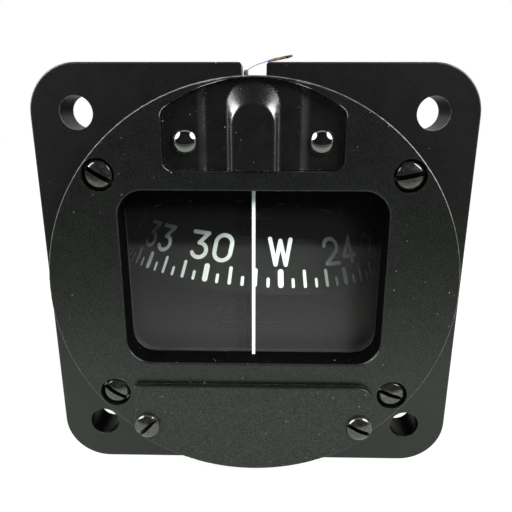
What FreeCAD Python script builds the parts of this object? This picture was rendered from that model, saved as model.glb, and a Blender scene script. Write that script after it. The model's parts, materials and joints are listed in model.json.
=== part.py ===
import FreeCAD, Part
import math
import os

# Panel mount compass, in millimetres.
# The origin is the centre of the four mounting holes on the front face of the flange.
# +X is to the right and +Z is up as one reads the card; +Y runs back into the panel.
V = FreeCAD.Vector
RIGHT = V(1, 0, 0)
BACK = V(0, 1, 0)
FRONT = V(0, -1, 0)
UP = V(0, 0, 1)
DOWN = V(0, 0, -1)

# Clearances and overruns
THREAD_GAP = 0.02
RUNNING_GAP = 0.04
SEAT_GAP = 0.12
CUT_OVERRUN = 1.0

# How closely an edge has to follow a direction to count as lying along it
ALONG_SHARE = 0.9

# Mounting flange and barrel of the case
HOLE_SPACING = 62.87
HOLE_RADIUS = 2.97
FLANGE_WIDTH = 79.4
FLANGE_HEIGHT = 79.8
FLANGE_THICKNESS = 7.0
FLANGE_CORNER = 8.8
FLANGE_EDGE = 0.35
BARREL_WALL = 3.9
RIM_PROUD = 2.0
RIM_LENGTH = 6.0
FRONT_WALL = 2.0
NOTCH_WIDTH = 4.3
NOTCH_LIP = 0.6
NOTCH_FLOOR = 36.9
LEAD_WAY_DEPTH = 3.4
LEAD_WAY_FLOOR = 31.5

# Bezel disc with its window
BEZEL_RIM = 0.3
BEZEL_THICKNESS = 5.3
BEZEL_EDGE = 0.2
BEZEL_RELIEF_WIDTH = 0.2
BEZEL_RELIEF_INSET = 1.1
BEZEL_RELIEF_DEPTH = 0.2
WINDOW_HALF_WIDTH = 24.0
WINDOW_TOP = 18.5
WINDOW_BOTTOM = -14.75
WINDOW_CORNER = 4.7
WINDOW_EDGE = 0.3

# Glass and its two gaskets
GLASS_THICKNESS = 1.8
GLASS_MARGIN = 1.8
GLASS_CORNER = 6.0
GLASS_SIDE_GAP = 0.3
GASKET_THICKNESS = 0.3
GASKET_SET_BACK = 0.5

# Lubber line
LUBBER_WIDTH = 0.62
LUBBER_THICKNESS = 0.25
LUBBER_STAND_OFF = 1.0
LUBBER_END_GAP = 0.05

# Bezel screws
BEZEL_SCREW_SIDE_MARGIN = 2.9
BEZEL_SCREW_TOP_MARGIN = 2.7
BEZEL_HEAD_RADIUS = 2.65
BEZEL_HEAD_HEIGHT = 2.3
BEZEL_HEAD_PROUD = 0.2
BEZEL_COUNTERBORE_GAP = 0.3
BEZEL_SHANK_RADIUS = 1.5
BEZEL_SHANK_LENGTH = 9.0
BEZEL_SHANK_GAP = 0.2
SLOT_WIDTH = 0.85
SLOT_DEPTH = 0.9
HEAD_EDGE = 0.25
BEZEL_SLOT_TURNS = (-31, 12, -34, -19)

# Lamp pocket at the top of the bezel, and the cover in it
POCKET_HALF_WIDTH = 15.6
POCKET_BOTTOM = 21.9
POCKET_RIM = 0.35
POCKET_TOP_RADIUS = 25.5
POCKET_DEPTH = 2.4
POCKET_CORNER = 1.8
LAMP_COVER_THICKNESS = 1.2
COVER_STEP_HALF_WIDTH = 8.7
COVER_STEP_SLOPE = 0.7
COVER_STEP_HEIGHT = 0.45
RIB_BASE_HALF_WIDTH = 4.3
RIB_FRONT_HALF_WIDTH = 3.25
RIB_PROUD = 0.35
RIB_ARCH_INSET = 4.87
RIB_ARCH_RAKE = 1.7
RIB_BOTTOM_GAP = 0.4
STUD_X = 11.6
STUD_Z = 26.8
STUD_RADIUS = 2.05
STUD_RISE = 1.35
STUD_SHANK_RADIUS = 0.8
STUD_SHANK_LENGTH = 3.0

# Lamp, its holder and the way for its light
LAMP_Y = -1.9
LAMP_BOTTOM = 23.6
BULB_RADIUS = 1.7
BULB_LENGTH = 4.6
HOLDER_RADIUS = 2.0
HOLDER_LENGTH = 4.8
HOLDER_PLUG_LENGTH = 1.0
HOLDER_PLUG_RADIUS = 1.2
LAMP_WAY_GAP = 0.3
LAMP_WAY_HALF_WIDTH = 2.6
LAMP_WAY_INSET = 1.3
LAMP_WAY_STEP = 1.1
LIGHT_DUCT_RADIUS = 1.5
LAMP_RECESS_DEPTH = 1.0

# Lamp leads: the cut left-hand one ends above the flange, the other lies on the barrel
LEAD_RADIUS = 0.4
LEFT_LEAD_POINTS = (
    (-0.7, -0.9, 33.0), (-0.7, -0.1, 35.2), (-1.4, 2.4, 37.8), (-1.65, 5.0, 38.6),
    (-0.1, 7.7, 39.8), (2.8, 9.3, 40.8), (7.0, 9.9, 41.6))
RIGHT_LEAD_POINTS = (
    (0.7, -0.9, 33.0), (0.7, -0.1, 35.2), (0.9, 2.2, 37.25), (1.0, 6.0, 37.65),
    (0.9, 10.6, 37.5), (2.0, 16.0, 37.1), (4.0, 21.2, 36.9), (4.9, 27.0, 36.8),
    (3.9, 32.6, 36.9))
LEAD_BEND_SHARE = 0.45

# Cover plate over the compensator
PLATE_HALF_WIDTH = 23.1
PLATE_TOP = -19.1
PLATE_THICKNESS = 1.3
PLATE_CORNER_SHARE = 0.29
PLATE_TIGHT_CORNER = 0.7
PLATE_EDGE = 0.2
PLATE_SCREW_SIDE_MARGIN = 2.4
PLATE_SCREW_RISE = 3.67
PLATE_HEAD_RADIUS = 2.5
PLATE_HEAD_HEIGHT = 1.4
PLATE_SHANK_RADIUS = 1.25
PLATE_SHANK_LENGTH = 5.2
PLATE_SLOT_TURNS = (45, -24)

# Bay of the compensator in the case, and the boss around it
BAY_Z = -25.2
BAY_HALF_WIDTH = 14.3
BAY_HALF_HEIGHT = 4.2
BAY_REAR_GAP = 2.5
BOSS_HALF_WIDTH = 16.4
BOSS_TOP = -18.6
BOSS_TAIL = 20.0
BAY_DOOR_HALF_WIDTH = 18.0
BAY_DOOR_HALF_HEIGHT = 5.2
BAY_DOOR_CORNER = 1.5

# Compensator frame
FRAME_SIDE_GAP = 0.4
FRAME_WALL = 1.0
FRAME_FRONT_THICKNESS = 1.6
FRAME_FRONT_GAP = 0.3
FRAME_WALL_Y = 6.0
FRAME_REAR_WALL_Y = 15.0
FRAME_CROSS_WALL = 1.5
FRAME_LENGTH = 27.5
FRAME_RIB_X = -0.9
FRAME_SCREW_X = 15.95
FRAME_SCREW_HEAD_RADIUS = 1.4
FRAME_SCREW_HEAD_HEIGHT = 0.9
FRAME_SCREW_SHANK_RADIUS = 0.7
FRAME_SCREW_LENGTH = 4.6
FRAME_SLOT_WIDTH = 0.45
FRAME_SLOT_DEPTH = 0.4

# Compensator shafts, gears and magnets
DRIVE_SHAFT_RADIUS = 1.2
DRIVE_HEAD_RADIUS = 2.2
DRIVE_HEAD_LENGTH = 1.8
DRIVE_HEAD_GAP = 0.1
EAST_WEST_X = -9.0
GEAR_TEETH = 13
GEAR_PITCH_RADIUS = 3.25
GEAR_ADDENDUM = 0.35
GEAR_DEDENDUM = 0.55
GEAR_WIDTH = 2.0
TOOTH_TIP_SHARE = 0.14
TOOTH_ROOT_SHARE = 0.42
GEAR_Y = 8.2
DRUM_RADIUS = 2.6
DRUM_LENGTH = 3.8
DRUM_MAGNET_RADIUS = 0.8
DRUM_MAGNET_LENGTH = 4.8
IDLER_PIN_RADIUS = 0.5
NORTH_SOUTH_X = 6.6
BEVEL_TEETH = 12
BEVEL_PITCH_RADIUS = 3.0
BEVEL_ADDENDUM = 0.3
BEVEL_DEDENDUM = 0.46
BEVEL_TOE_SHARE = 0.64
BEVEL_APEX_Y = 22.0
WHEEL_DRUM_LENGTH = 2.9
WHEEL_DRUM_RADIUS = 2.9
CROSS_PIN_REACH = 0.6

# Compass card with its float and magnets, seen at 281 degrees and leaning a little to the right
PIVOT_Z = 4.0
CARD_HEADING = 281.0
CARD_ROLL = 3.6
CARD_THICKNESS = 0.4
CARD_BOTTOM = -3.4
CARD_TOP = 7.4
CARD_BOTTOM_RADIUS = 30.6
CARD_LEAN = 23.0
CARD_FRONT_GAP = 1.2
CARD_SIDE_GAP = 2.0
CARD_REAR_GAP = 3.5
CARD_HOLE_RADIUS = 2.4
FLOAT_OUTER_RADIUS = 15.0
FLOAT_INNER_RADIUS = 4.6
FLOAT_WALL = 0.4
FLOAT_BOTTOM = 0.8
CARD_MAGNET_SPREAD = 9.0
CARD_MAGNET_WIDTH = 3.0
CARD_MAGNET_HEIGHT = 2.6
CARD_MAGNET_LENGTH = 22.0

# Pivot and jewel
PIVOT_BALL_RADIUS = 0.45
PIVOT_BALL_GAP = 0.03
NEEDLE_TIP_RADIUS = 0.62
NEEDLE_RADIUS = 0.9
NEEDLE_CONE_LENGTH = 1.6
NEEDLE_TOP = 8.0
NEEDLE_HEAD_RADIUS = 1.3
NEEDLE_HEAD_HEIGHT = 0.5
COLLET_BODY_RADIUS = 2.3
COLLET_FLANGE_RADIUS = 3.4
COLLET_FLANGE_HEIGHT = 0.6
COLLET_BOTTOM = 6.0
JEWEL_RADIUS = 1.1
JEWEL_HEIGHT = 1.0
JEWEL_CUP_RADIUS = 0.9
JEWEL_SEAT_GAP = 0.03
JEWEL_POST_RADIUS = 1.5
JEWEL_POST_STEM_RADIUS = 1.0
JEWEL_POST_HEAD_LENGTH = 3.0
JEWEL_POST_LENGTH = 11.0
JEWEL_TRAVEL = 0.5
PILLAR_RADIUS = 2.6
PILLAR_TOP = -2.0
SPRING_COIL_RADIUS = 1.25
SPRING_WIRE_RADIUS = 0.17
SPRING_TURNS = 7
SPRING_GAP = 0.05
SPRING_ROOM_RADIUS = 1.6
BRACKET_HALF_WIDTH = 9.0
BRACKET_HALF_LENGTH = 6.0
BRACKET_THICKNESS = 2.0
BRACKET_SCREW_X = 6.2
BRACKET_SCREW_HEAD_RADIUS = 1.8
BRACKET_SCREW_HEAD_HEIGHT = 1.2
BRACKET_SCREW_SHANK_RADIUS = 0.9
BRACKET_SCREW_LENGTH = 3.2

# Guard that keeps the card on its pivot
GUARD_STEM_RADIUS = 1.5
GUARD_FOOT_RADIUS = 3.0
GUARD_FOOT_HEIGHT = 1.4
GUARD_GAP = 1.4
GUARD_SEAT_DEPTH = 2.0

# Diaphragm, rear gasket and rear cover
DIAPHRAGM_GRIP = 2.0
DIAPHRAGM_THICKNESS = 0.3
DIAPHRAGM_WAVE = 0.8
DIAPHRAGM_WAVES = 6
DIAPHRAGM_FLAT_RADIUS = 6.0
DIAPHRAGM_FLAT_MARGIN = 2.6
REAR_GASKET_THICKNESS = 0.8
REAR_COVER_THICKNESS = 4.6
REAR_COVER_STEP = 0.2
REAR_ROOM_DEPTH = 2.2
REAR_EDGE = 0.5
VENT_RADIUS = 1.0
REAR_SCREW_COUNT = 6
REAR_SCREW_INSET = 2.05
REAR_HEAD_RADIUS = 1.9
REAR_HEAD_HEIGHT = 1.5
REAR_SHANK_RADIUS = 1.1
REAR_SHANK_LENGTH = 8.5
REAR_SLOT_WIDTH = 0.6
REAR_SLOT_DEPTH = 0.6

# Filler plug on top of the barrel
FILLER_SET_BACK = 18.0
FILLER_BOSS_RADIUS = 5.0
FILLER_BOSS_PROUD = 0.8
FILLER_THREAD_RADIUS = 2.5
FILLER_THREAD_LENGTH = 4.0
FILLER_WASHER_RADIUS = 4.0
FILLER_WASHER_THICKNESS = 0.6
FILLER_HEAD_RADIUS = 3.7
FILLER_HEAD_HEIGHT = 2.0

# Places worked out from the sizes above
BEZEL_SCREW_X = WINDOW_HALF_WIDTH + BEZEL_SCREW_SIDE_MARGIN
BEZEL_SCREW_Z = WINDOW_TOP + BEZEL_SCREW_TOP_MARGIN
BEZEL_COUNTERBORE_RADIUS = BEZEL_HEAD_RADIUS + BEZEL_COUNTERBORE_GAP
BEZEL_RADIUS = math.hypot(BEZEL_SCREW_X, BEZEL_SCREW_Z) + BEZEL_COUNTERBORE_RADIUS + BEZEL_RIM
BEZEL_FRONT = -BEZEL_THICKNESS
GLASS_FRONT = GASKET_THICKNESS
GLASS_BACK = GLASS_FRONT + GLASS_THICKNESS
WALL_FRONT = GLASS_BACK + GASKET_THICKNESS
WALL_BACK = WALL_FRONT + FRONT_WALL
CARD_Y = GLASS_BACK + CARD_FRONT_GAP + CARD_BOTTOM_RADIUS
CASE_LENGTH = CARD_Y + CARD_BOTTOM_RADIUS + CARD_REAR_GAP
BORE_RADIUS = CARD_BOTTOM_RADIUS + CARD_SIDE_GAP
BARREL_RADIUS = BORE_RADIUS + BARREL_WALL
RIM_RADIUS = BARREL_RADIUS + RIM_PROUD
DIAPHRAGM_RADIUS = BORE_RADIUS + DIAPHRAGM_GRIP
DIAPHRAGM_WAVE_WIDTH = (BORE_RADIUS - DIAPHRAGM_FLAT_MARGIN - DIAPHRAGM_FLAT_RADIUS) / DIAPHRAGM_WAVES
REAR_SCREW_CIRCLE = RIM_RADIUS - REAR_SCREW_INSET
FILLER_Y = CASE_LENGTH - FILLER_SET_BACK
FILLER_BOSS_TOP = BARREL_RADIUS + FILLER_BOSS_PROUD
POCKET_FLOOR = BEZEL_FRONT + POCKET_DEPTH
LAMP_COVER_FRONT = POCKET_FLOOR - LAMP_COVER_THICKNESS
COVER_STEP_FRONT = LAMP_COVER_FRONT - COVER_STEP_HEIGHT
RIB_ARCH_BASE = BEZEL_RADIUS - RIB_ARCH_INSET
RIB_ARCH_FRONT = RIB_ARCH_BASE - RIB_ARCH_RAKE
LAMP_WAY_TOP = BEZEL_RADIUS - LAMP_WAY_INSET
PLATE_FRONT = BEZEL_FRONT - PLATE_THICKNESS
PLATE_CORNER = PLATE_CORNER_SHARE * (math.sqrt(BEZEL_RADIUS ** 2 - PLATE_HALF_WIDTH ** 2) + PLATE_TOP)
PLATE_SCREW_X = PLATE_HALF_WIDTH - PLATE_SCREW_SIDE_MARGIN
PLATE_SCREW_Z = PLATE_SCREW_RISE - math.sqrt(BEZEL_RADIUS ** 2 - PLATE_SCREW_X ** 2)
BAY_LENGTH = FRAME_LENGTH + BAY_REAR_GAP
BOSS_LENGTH = BAY_LENGTH + BOSS_TAIL
LAMP_TOP = LAMP_BOTTOM + BULB_LENGTH
HOLDER_TOP = LAMP_TOP + HOLDER_LENGTH
SPINE = V(0, CARD_Y, 0)
JEWEL_TOP = PIVOT_Z - PIVOT_BALL_RADIUS - JEWEL_SEAT_GAP + JEWEL_CUP_RADIUS / 2
JEWEL_BOTTOM = JEWEL_TOP - JEWEL_HEIGHT
BRACKET_TOP = BOSS_TOP + BRACKET_THICKNESS
DRIVE_HEAD_BACK = -FRAME_FRONT_THICKNESS - DRIVE_HEAD_GAP


def box(x0, x1, y0, y1, z0, z1):
    return Part.makeBox(x1 - x0, y1 - y0, z1 - z0, V(x0, y0, z0))


def rod(radius, start, direction, length):
    return Part.makeCylinder(radius, length, start, direction)


def fuse(shapes):
    whole = shapes[0].multiFuse(list(shapes[1:])) if len(shapes) > 1 else shapes[0]
    return whole.removeSplitter()


def group(shapes):
    return Part.makeCompound(list(shapes))


def runs_back(edge):
    """Whether an edge starts straight back, along Y."""
    return abs(edge.tangentAt(edge.FirstParameter).dot(BACK)) > ALONG_SHARE


def rounded_slab(x0, x1, z0, z1, corner, y0, y1):
    slab = box(x0, x1, y0, y1, z0, z1)
    return slab.makeFillet(corner, [edge for edge in slab.Edges if runs_back(edge)])


def window_slab(margin, corner, y0, y1):
    return rounded_slab(-WINDOW_HALF_WIDTH - margin, WINDOW_HALF_WIDTH + margin,
                        WINDOW_BOTTOM - margin, WINDOW_TOP + margin, corner, y0, y1)


def turned(profile, axis_point, axis):
    """Solid of revolution of a closed profile given as points."""
    wire = Part.makePolygon(list(profile) + [profile[0]])
    return Part.Face(wire).revolve(axis_point, axis, 360)


def upright_profile(centre, pairs):
    """Points at a radius and a height, in the plane through the upright axis at the centre."""
    return [V(centre.x + radius, centre.y, height) for radius, height in pairs]


def front_screw(x, y, z, head_radius, head_height, shank_radius, shank_length,
                slot_width, slot_depth, turn, edge):
    """A screw driven from the front; the turn is that of its slot as one looks at it."""
    head = rod(head_radius, V(x, y, z), FRONT, head_height)
    head = head.makeChamfer(edge, [rim for rim in head.Edges if rim.BoundBox.YMax < y - head_height / 2])
    slot = box(x - head_radius * 2, x + head_radius * 2, y - head_height - slot_depth,
               y - head_height + slot_depth, z - slot_width / 2, z + slot_width / 2)
    slot.rotate(V(x, y, z), FRONT, turn)
    shank = rod(shank_radius, V(x, y, z), BACK, shank_length)
    return fuse([head.cut(slot), shank])


def gear_outline(teeth, root, tip, first_angle):
    """Points round a toothed outline in the plane of two unit vectors, as radius and angle."""
    pitch = 360 / teeth
    points = []
    for tooth in range(teeth):
        middle = first_angle + tooth * pitch
        points.append((root, middle - pitch * TOOTH_ROOT_SHARE / 2))
        points.append((tip, middle - pitch * TOOTH_TIP_SHARE / 2))
        points.append((tip, middle + pitch * TOOTH_TIP_SHARE / 2))
        points.append((root, middle + pitch * TOOTH_ROOT_SHARE / 2))
    return points


def gear_wire(centre, across, upward, outline, scale):
    points = []
    for radius, angle in outline:
        turn = math.radians(angle)
        points.append(centre + across * (radius * scale * math.cos(turn))
                      + upward * (radius * scale * math.sin(turn)))
    return Part.makePolygon(points + [points[0]])


def spur_gear(x, first_angle):
    outline = gear_outline(GEAR_TEETH, GEAR_PITCH_RADIUS - GEAR_DEDENDUM,
                           GEAR_PITCH_RADIUS + GEAR_ADDENDUM, first_angle)
    wire = gear_wire(V(x, GEAR_Y, BAY_Z), RIGHT, UP, outline, 1)
    return Part.Face(wire).extrude(BACK * GEAR_WIDTH)


def bevel_gear(away, across, first_angle):
    """A bevel gear about the apex; away points from the apex to the gear's back."""
    apex = V(NORTH_SOUTH_X, BEVEL_APEX_Y, BAY_Z)
    outline = gear_outline(BEVEL_TEETH, BEVEL_PITCH_RADIUS - BEVEL_DEDENDUM,
                           BEVEL_PITCH_RADIUS + BEVEL_ADDENDUM, first_angle)
    heel = gear_wire(apex + away * BEVEL_PITCH_RADIUS, across, UP, outline, 1)
    toe = gear_wire(apex + away * (BEVEL_PITCH_RADIUS * BEVEL_TOE_SHARE), across, UP, outline,
                    BEVEL_TOE_SHARE)
    return Part.makeLoft([heel, toe], True, True)


def lean_card(shape):
    """Turns a piece of the card to its heading and gives it the lean that it rests with."""
    shape.rotate(V(0, CARD_Y, PIVOT_Z), BACK, CARD_ROLL)
    return shape


def build_case():
    flange = rounded_slab(-FLANGE_WIDTH / 2, FLANGE_WIDTH / 2, -FLANGE_HEIGHT / 2, FLANGE_HEIGHT / 2,
                          FLANGE_CORNER, 0, FLANGE_THICKNESS)
    rims = [edge for edge in flange.Edges if not runs_back(edge)]
    flange = flange.makeFillet(FLANGE_EDGE, rims)
    barrel = rod(BARREL_RADIUS, V(0, FLANGE_THICKNESS / 2, 0), BACK, CASE_LENGTH - FLANGE_THICKNESS / 2)
    rim = rod(RIM_RADIUS, V(0, CASE_LENGTH - RIM_LENGTH, 0), BACK, RIM_LENGTH)
    filler_boss = rod(FILLER_BOSS_RADIUS, V(0, FILLER_Y, 0), UP, FILLER_BOSS_TOP)
    case = flange.fuse(barrel).fuse(rim).fuse(filler_boss)
    bore = rod(BORE_RADIUS, V(0, WALL_BACK, 0), BACK, CASE_LENGTH)
    boss = box(-BOSS_HALF_WIDTH, BOSS_HALF_WIDTH, WALL_BACK - CUT_OVERRUN, BOSS_LENGTH,
               -BORE_RADIUS - CUT_OVERRUN, BOSS_TOP)
    case = case.cut(bore.cut(boss))
    cuts = [window_slab(GLASS_MARGIN + GLASS_SIDE_GAP, GLASS_CORNER + GLASS_SIDE_GAP,
                        -CUT_OVERRUN, WALL_FRONT)]
    cuts.append(window_slab(GASKET_SET_BACK, WINDOW_CORNER + GASKET_SET_BACK, 0, WALL_BACK + CUT_OVERRUN))
    cuts.append(box(-BAY_HALF_WIDTH, BAY_HALF_WIDTH, -CUT_OVERRUN, BAY_LENGTH,
                    BAY_Z - BAY_HALF_HEIGHT, BAY_Z + BAY_HALF_HEIGHT))
    cuts.append(box(-NOTCH_WIDTH / 2, NOTCH_WIDTH / 2, -CUT_OVERRUN, FLANGE_THICKNESS + CUT_OVERRUN,
                    NOTCH_FLOOR, FLANGE_HEIGHT))
    cuts.append(notch_lips())
    cuts.append(box(-NOTCH_WIDTH / 2, NOTCH_WIDTH / 2, -CUT_OVERRUN, LEAD_WAY_DEPTH,
                    LEAD_WAY_FLOOR, FLANGE_HEIGHT))
    cuts.append(box(-LAMP_WAY_HALF_WIDTH, LAMP_WAY_HALF_WIDTH, -CUT_OVERRUN, LAMP_RECESS_DEPTH,
                    LAMP_BOTTOM - LAMP_WAY_GAP, LAMP_WAY_TOP))
    before_flange = V(0, -CUT_OVERRUN, 0)
    relief = rod(BEZEL_RADIUS + BEZEL_RELIEF_WIDTH, before_flange, BACK, CUT_OVERRUN + BEZEL_RELIEF_DEPTH)
    cuts.append(relief.cut(rod(BEZEL_RADIUS - BEZEL_RELIEF_INSET, before_flange, BACK, FLANGE_THICKNESS)))
    for x in (-HOLE_SPACING / 2, HOLE_SPACING / 2):
        for z in (-HOLE_SPACING / 2, HOLE_SPACING / 2):
            cuts.append(rod(HOLE_RADIUS, V(x, -CUT_OVERRUN, z), BACK, FLANGE_THICKNESS + CUT_OVERRUN * 2))
    bezel_depth = BEZEL_SHANK_LENGTH - BEZEL_THICKNESS - BEZEL_HEAD_PROUD + BEZEL_HEAD_HEIGHT
    for x in (-BEZEL_SCREW_X, BEZEL_SCREW_X):
        for z in (-BEZEL_SCREW_Z, BEZEL_SCREW_Z):
            cuts.append(rod(BEZEL_SHANK_RADIUS + THREAD_GAP, V(x, -CUT_OVERRUN, z), BACK,
                            bezel_depth + CUT_OVERRUN * 2))
    for x in (-FRAME_SCREW_X, FRAME_SCREW_X):
        cuts.append(rod(FRAME_SCREW_SHANK_RADIUS + THREAD_GAP, V(x, -CUT_OVERRUN, BAY_Z), BACK,
                        FRAME_SCREW_LENGTH + CUT_OVERRUN))
    for x in (-PLATE_SCREW_X, PLATE_SCREW_X):
        cuts.append(rod(PLATE_SHANK_RADIUS + THREAD_GAP, V(x, -CUT_OVERRUN, PLATE_SCREW_Z), BACK,
                        PLATE_SHANK_LENGTH - BEZEL_THICKNESS + CUT_OVERRUN * 2))
    for x in (-BRACKET_SCREW_X, BRACKET_SCREW_X):
        cuts.append(rod(BRACKET_SCREW_SHANK_RADIUS + THREAD_GAP, V(x, CARD_Y, BOSS_TOP + CUT_OVERRUN), DOWN,
                        BRACKET_SCREW_LENGTH + CUT_OVERRUN))
    for place in rear_screw_places():
        cuts.append(rod(REAR_SHANK_RADIUS + THREAD_GAP, V(place.x, CASE_LENGTH + CUT_OVERRUN, place.z), FRONT,
                        REAR_SHANK_LENGTH - REAR_COVER_THICKNESS + CUT_OVERRUN * 2))
    cuts.append(rod(FILLER_THREAD_RADIUS + THREAD_GAP, V(0, FILLER_Y, 0), UP, FILLER_BOSS_TOP + CUT_OVERRUN))
    cuts.append(rod(GUARD_STEM_RADIUS + THREAD_GAP, V(0, CARD_Y, 0), UP, BORE_RADIUS + GUARD_SEAT_DEPTH))
    return case.cut(cuts[0].multiFuse(cuts[1:]))


def notch_lips():
    """The two rounded corners where the notch meets the top edge of the flange."""
    top = FLANGE_HEIGHT / 2
    lips = []
    for side in (-1, 1):
        x = side * NOTCH_WIDTH / 2
        low = box(min(x, x + side * NOTCH_LIP), max(x, x + side * NOTCH_LIP), -CUT_OVERRUN,
                  FLANGE_THICKNESS + CUT_OVERRUN, top - NOTCH_LIP, top + CUT_OVERRUN)
        ball = rod(NOTCH_LIP, V(x + side * NOTCH_LIP, -CUT_OVERRUN * 2, top - NOTCH_LIP), BACK,
                   FLANGE_THICKNESS + CUT_OVERRUN * 4)
        lips.append(low.cut(ball))
    return lips[0].fuse(lips[1])


def pocket_outline(gap, y0, y1):
    """The lamp pocket's shape: a box with rounded corners under an arched top."""
    half = POCKET_HALF_WIDTH - gap
    block = box(-half, half, y0, y1, POCKET_BOTTOM + gap, BEZEL_RADIUS)
    middle = V(0, y0, BEZEL_RADIUS - POCKET_RIM - POCKET_TOP_RADIUS)
    round_rim = rod(POCKET_TOP_RADIUS - gap, middle, BACK, y1 - y0)
    shape = block.common(round_rim)
    return shape.makeFillet(POCKET_CORNER - gap, [edge for edge in shape.Edges if runs_back(edge)])


def build_bezel():
    disc = rod(BEZEL_RADIUS, V(0, BEZEL_FRONT, 0), BACK, BEZEL_THICKNESS)
    disc = disc.makeFillet(BEZEL_EDGE, [edge for edge in disc.Edges if edge.BoundBox.YMax < BEZEL_FRONT / 2])
    cuts = [window_slab(0, WINDOW_CORNER, BEZEL_FRONT - CUT_OVERRUN, CUT_OVERRUN)]
    cuts.append(pocket_outline(0, BEZEL_FRONT - CUT_OVERRUN, POCKET_FLOOR))
    cuts.append(box(-LAMP_WAY_HALF_WIDTH, LAMP_WAY_HALF_WIDTH, POCKET_FLOOR - CUT_OVERRUN, CUT_OVERRUN,
                    LAMP_BOTTOM - LAMP_WAY_GAP, LAMP_WAY_TOP - LAMP_WAY_STEP))
    cuts.append(box(-NOTCH_WIDTH / 2, NOTCH_WIDTH / 2, LAMP_Y, CUT_OVERRUN,
                    LAMP_BOTTOM, LAMP_WAY_TOP))
    cuts.append(rod(LIGHT_DUCT_RADIUS, V(0, LAMP_Y, LAMP_BOTTOM), DOWN,
                    LAMP_BOTTOM - WINDOW_TOP + CUT_OVERRUN))
    cuts.append(rounded_slab(-BAY_DOOR_HALF_WIDTH, BAY_DOOR_HALF_WIDTH, BAY_Z - BAY_DOOR_HALF_HEIGHT,
                             BAY_Z + BAY_DOOR_HALF_HEIGHT, BAY_DOOR_CORNER,
                             BEZEL_FRONT - CUT_OVERRUN, CUT_OVERRUN))
    head_seat = BEZEL_FRONT - BEZEL_HEAD_PROUD + BEZEL_HEAD_HEIGHT
    for x in (-BEZEL_SCREW_X, BEZEL_SCREW_X):
        for z in (-BEZEL_SCREW_Z, BEZEL_SCREW_Z):
            cuts.append(rod(BEZEL_COUNTERBORE_RADIUS, V(x, BEZEL_FRONT - CUT_OVERRUN, z), BACK,
                            head_seat - BEZEL_FRONT + CUT_OVERRUN))
            cuts.append(rod(BEZEL_SHANK_RADIUS + BEZEL_SHANK_GAP, V(x, BEZEL_FRONT, z), BACK,
                            BEZEL_THICKNESS + CUT_OVERRUN))
    for x in (-PLATE_SCREW_X, PLATE_SCREW_X):
        cuts.append(rod(PLATE_SHANK_RADIUS + THREAD_GAP, V(x, BEZEL_FRONT - CUT_OVERRUN, PLATE_SCREW_Z), BACK,
                        BEZEL_THICKNESS + CUT_OVERRUN * 2))
    for x in (-STUD_X, STUD_X):
        cuts.append(rod(STUD_SHANK_RADIUS + THREAD_GAP, V(x, BEZEL_FRONT, STUD_Z), BACK,
                        POCKET_DEPTH - LAMP_COVER_THICKNESS + STUD_SHANK_LENGTH + THREAD_GAP))
    disc = disc.cut(cuts[0].multiFuse(cuts[1:]))
    low = V(-WINDOW_HALF_WIDTH - SEAT_GAP, BEZEL_FRONT - SEAT_GAP, WINDOW_BOTTOM - SEAT_GAP)
    high = V(WINDOW_HALF_WIDTH + SEAT_GAP, BEZEL_FRONT + SEAT_GAP, WINDOW_TOP + SEAT_GAP)
    around_window = FreeCAD.BoundBox(low, high)
    return disc.makeFillet(WINDOW_EDGE, [edge for edge in disc.Edges if around_window.isInside(edge.BoundBox)])


def build_glass():
    return window_slab(GLASS_MARGIN, GLASS_CORNER, GLASS_FRONT, GLASS_BACK)


def build_glass_gasket(y0):
    outer = window_slab(GLASS_MARGIN, GLASS_CORNER, y0, y0 + GASKET_THICKNESS)
    inner = window_slab(GASKET_SET_BACK, WINDOW_CORNER + GASKET_SET_BACK, y0 - CUT_OVERRUN,
                        y0 + GASKET_THICKNESS + CUT_OVERRUN)
    return outer.cut(inner)


def build_lubber_line():
    back = -LUBBER_STAND_OFF
    return box(-LUBBER_WIDTH / 2, LUBBER_WIDTH / 2, back - LUBBER_THICKNESS, back,
               WINDOW_BOTTOM + LUBBER_END_GAP, WINDOW_TOP - LUBBER_END_GAP)


def build_bezel_screws():
    head_seat = BEZEL_FRONT - BEZEL_HEAD_PROUD + BEZEL_HEAD_HEIGHT
    places = ((-BEZEL_SCREW_X, BEZEL_SCREW_Z), (BEZEL_SCREW_X, BEZEL_SCREW_Z),
              (-BEZEL_SCREW_X, -BEZEL_SCREW_Z), (BEZEL_SCREW_X, -BEZEL_SCREW_Z))
    return group([front_screw(x, head_seat, z, BEZEL_HEAD_RADIUS, BEZEL_HEAD_HEIGHT, BEZEL_SHANK_RADIUS,
                              BEZEL_SHANK_LENGTH, SLOT_WIDTH, SLOT_DEPTH, turn, HEAD_EDGE)
                  for (x, z), turn in zip(places, BEZEL_SLOT_TURNS)])


def arched_wire(half_width, arch_z, bottom, y):
    """The outline of the rib: straight sides under a half-round top."""
    left_low = V(-half_width, y, bottom)
    left_high = V(-half_width, y, arch_z)
    crown = V(0, y, arch_z + half_width)
    right_high = V(half_width, y, arch_z)
    right_low = V(half_width, y, bottom)
    return Part.Wire([Part.LineSegment(left_low, left_high).toShape(),
                      Part.Arc(left_high, crown, right_high).toShape(),
                      Part.LineSegment(right_high, right_low).toShape(),
                      Part.LineSegment(right_low, left_low).toShape()])


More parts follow.
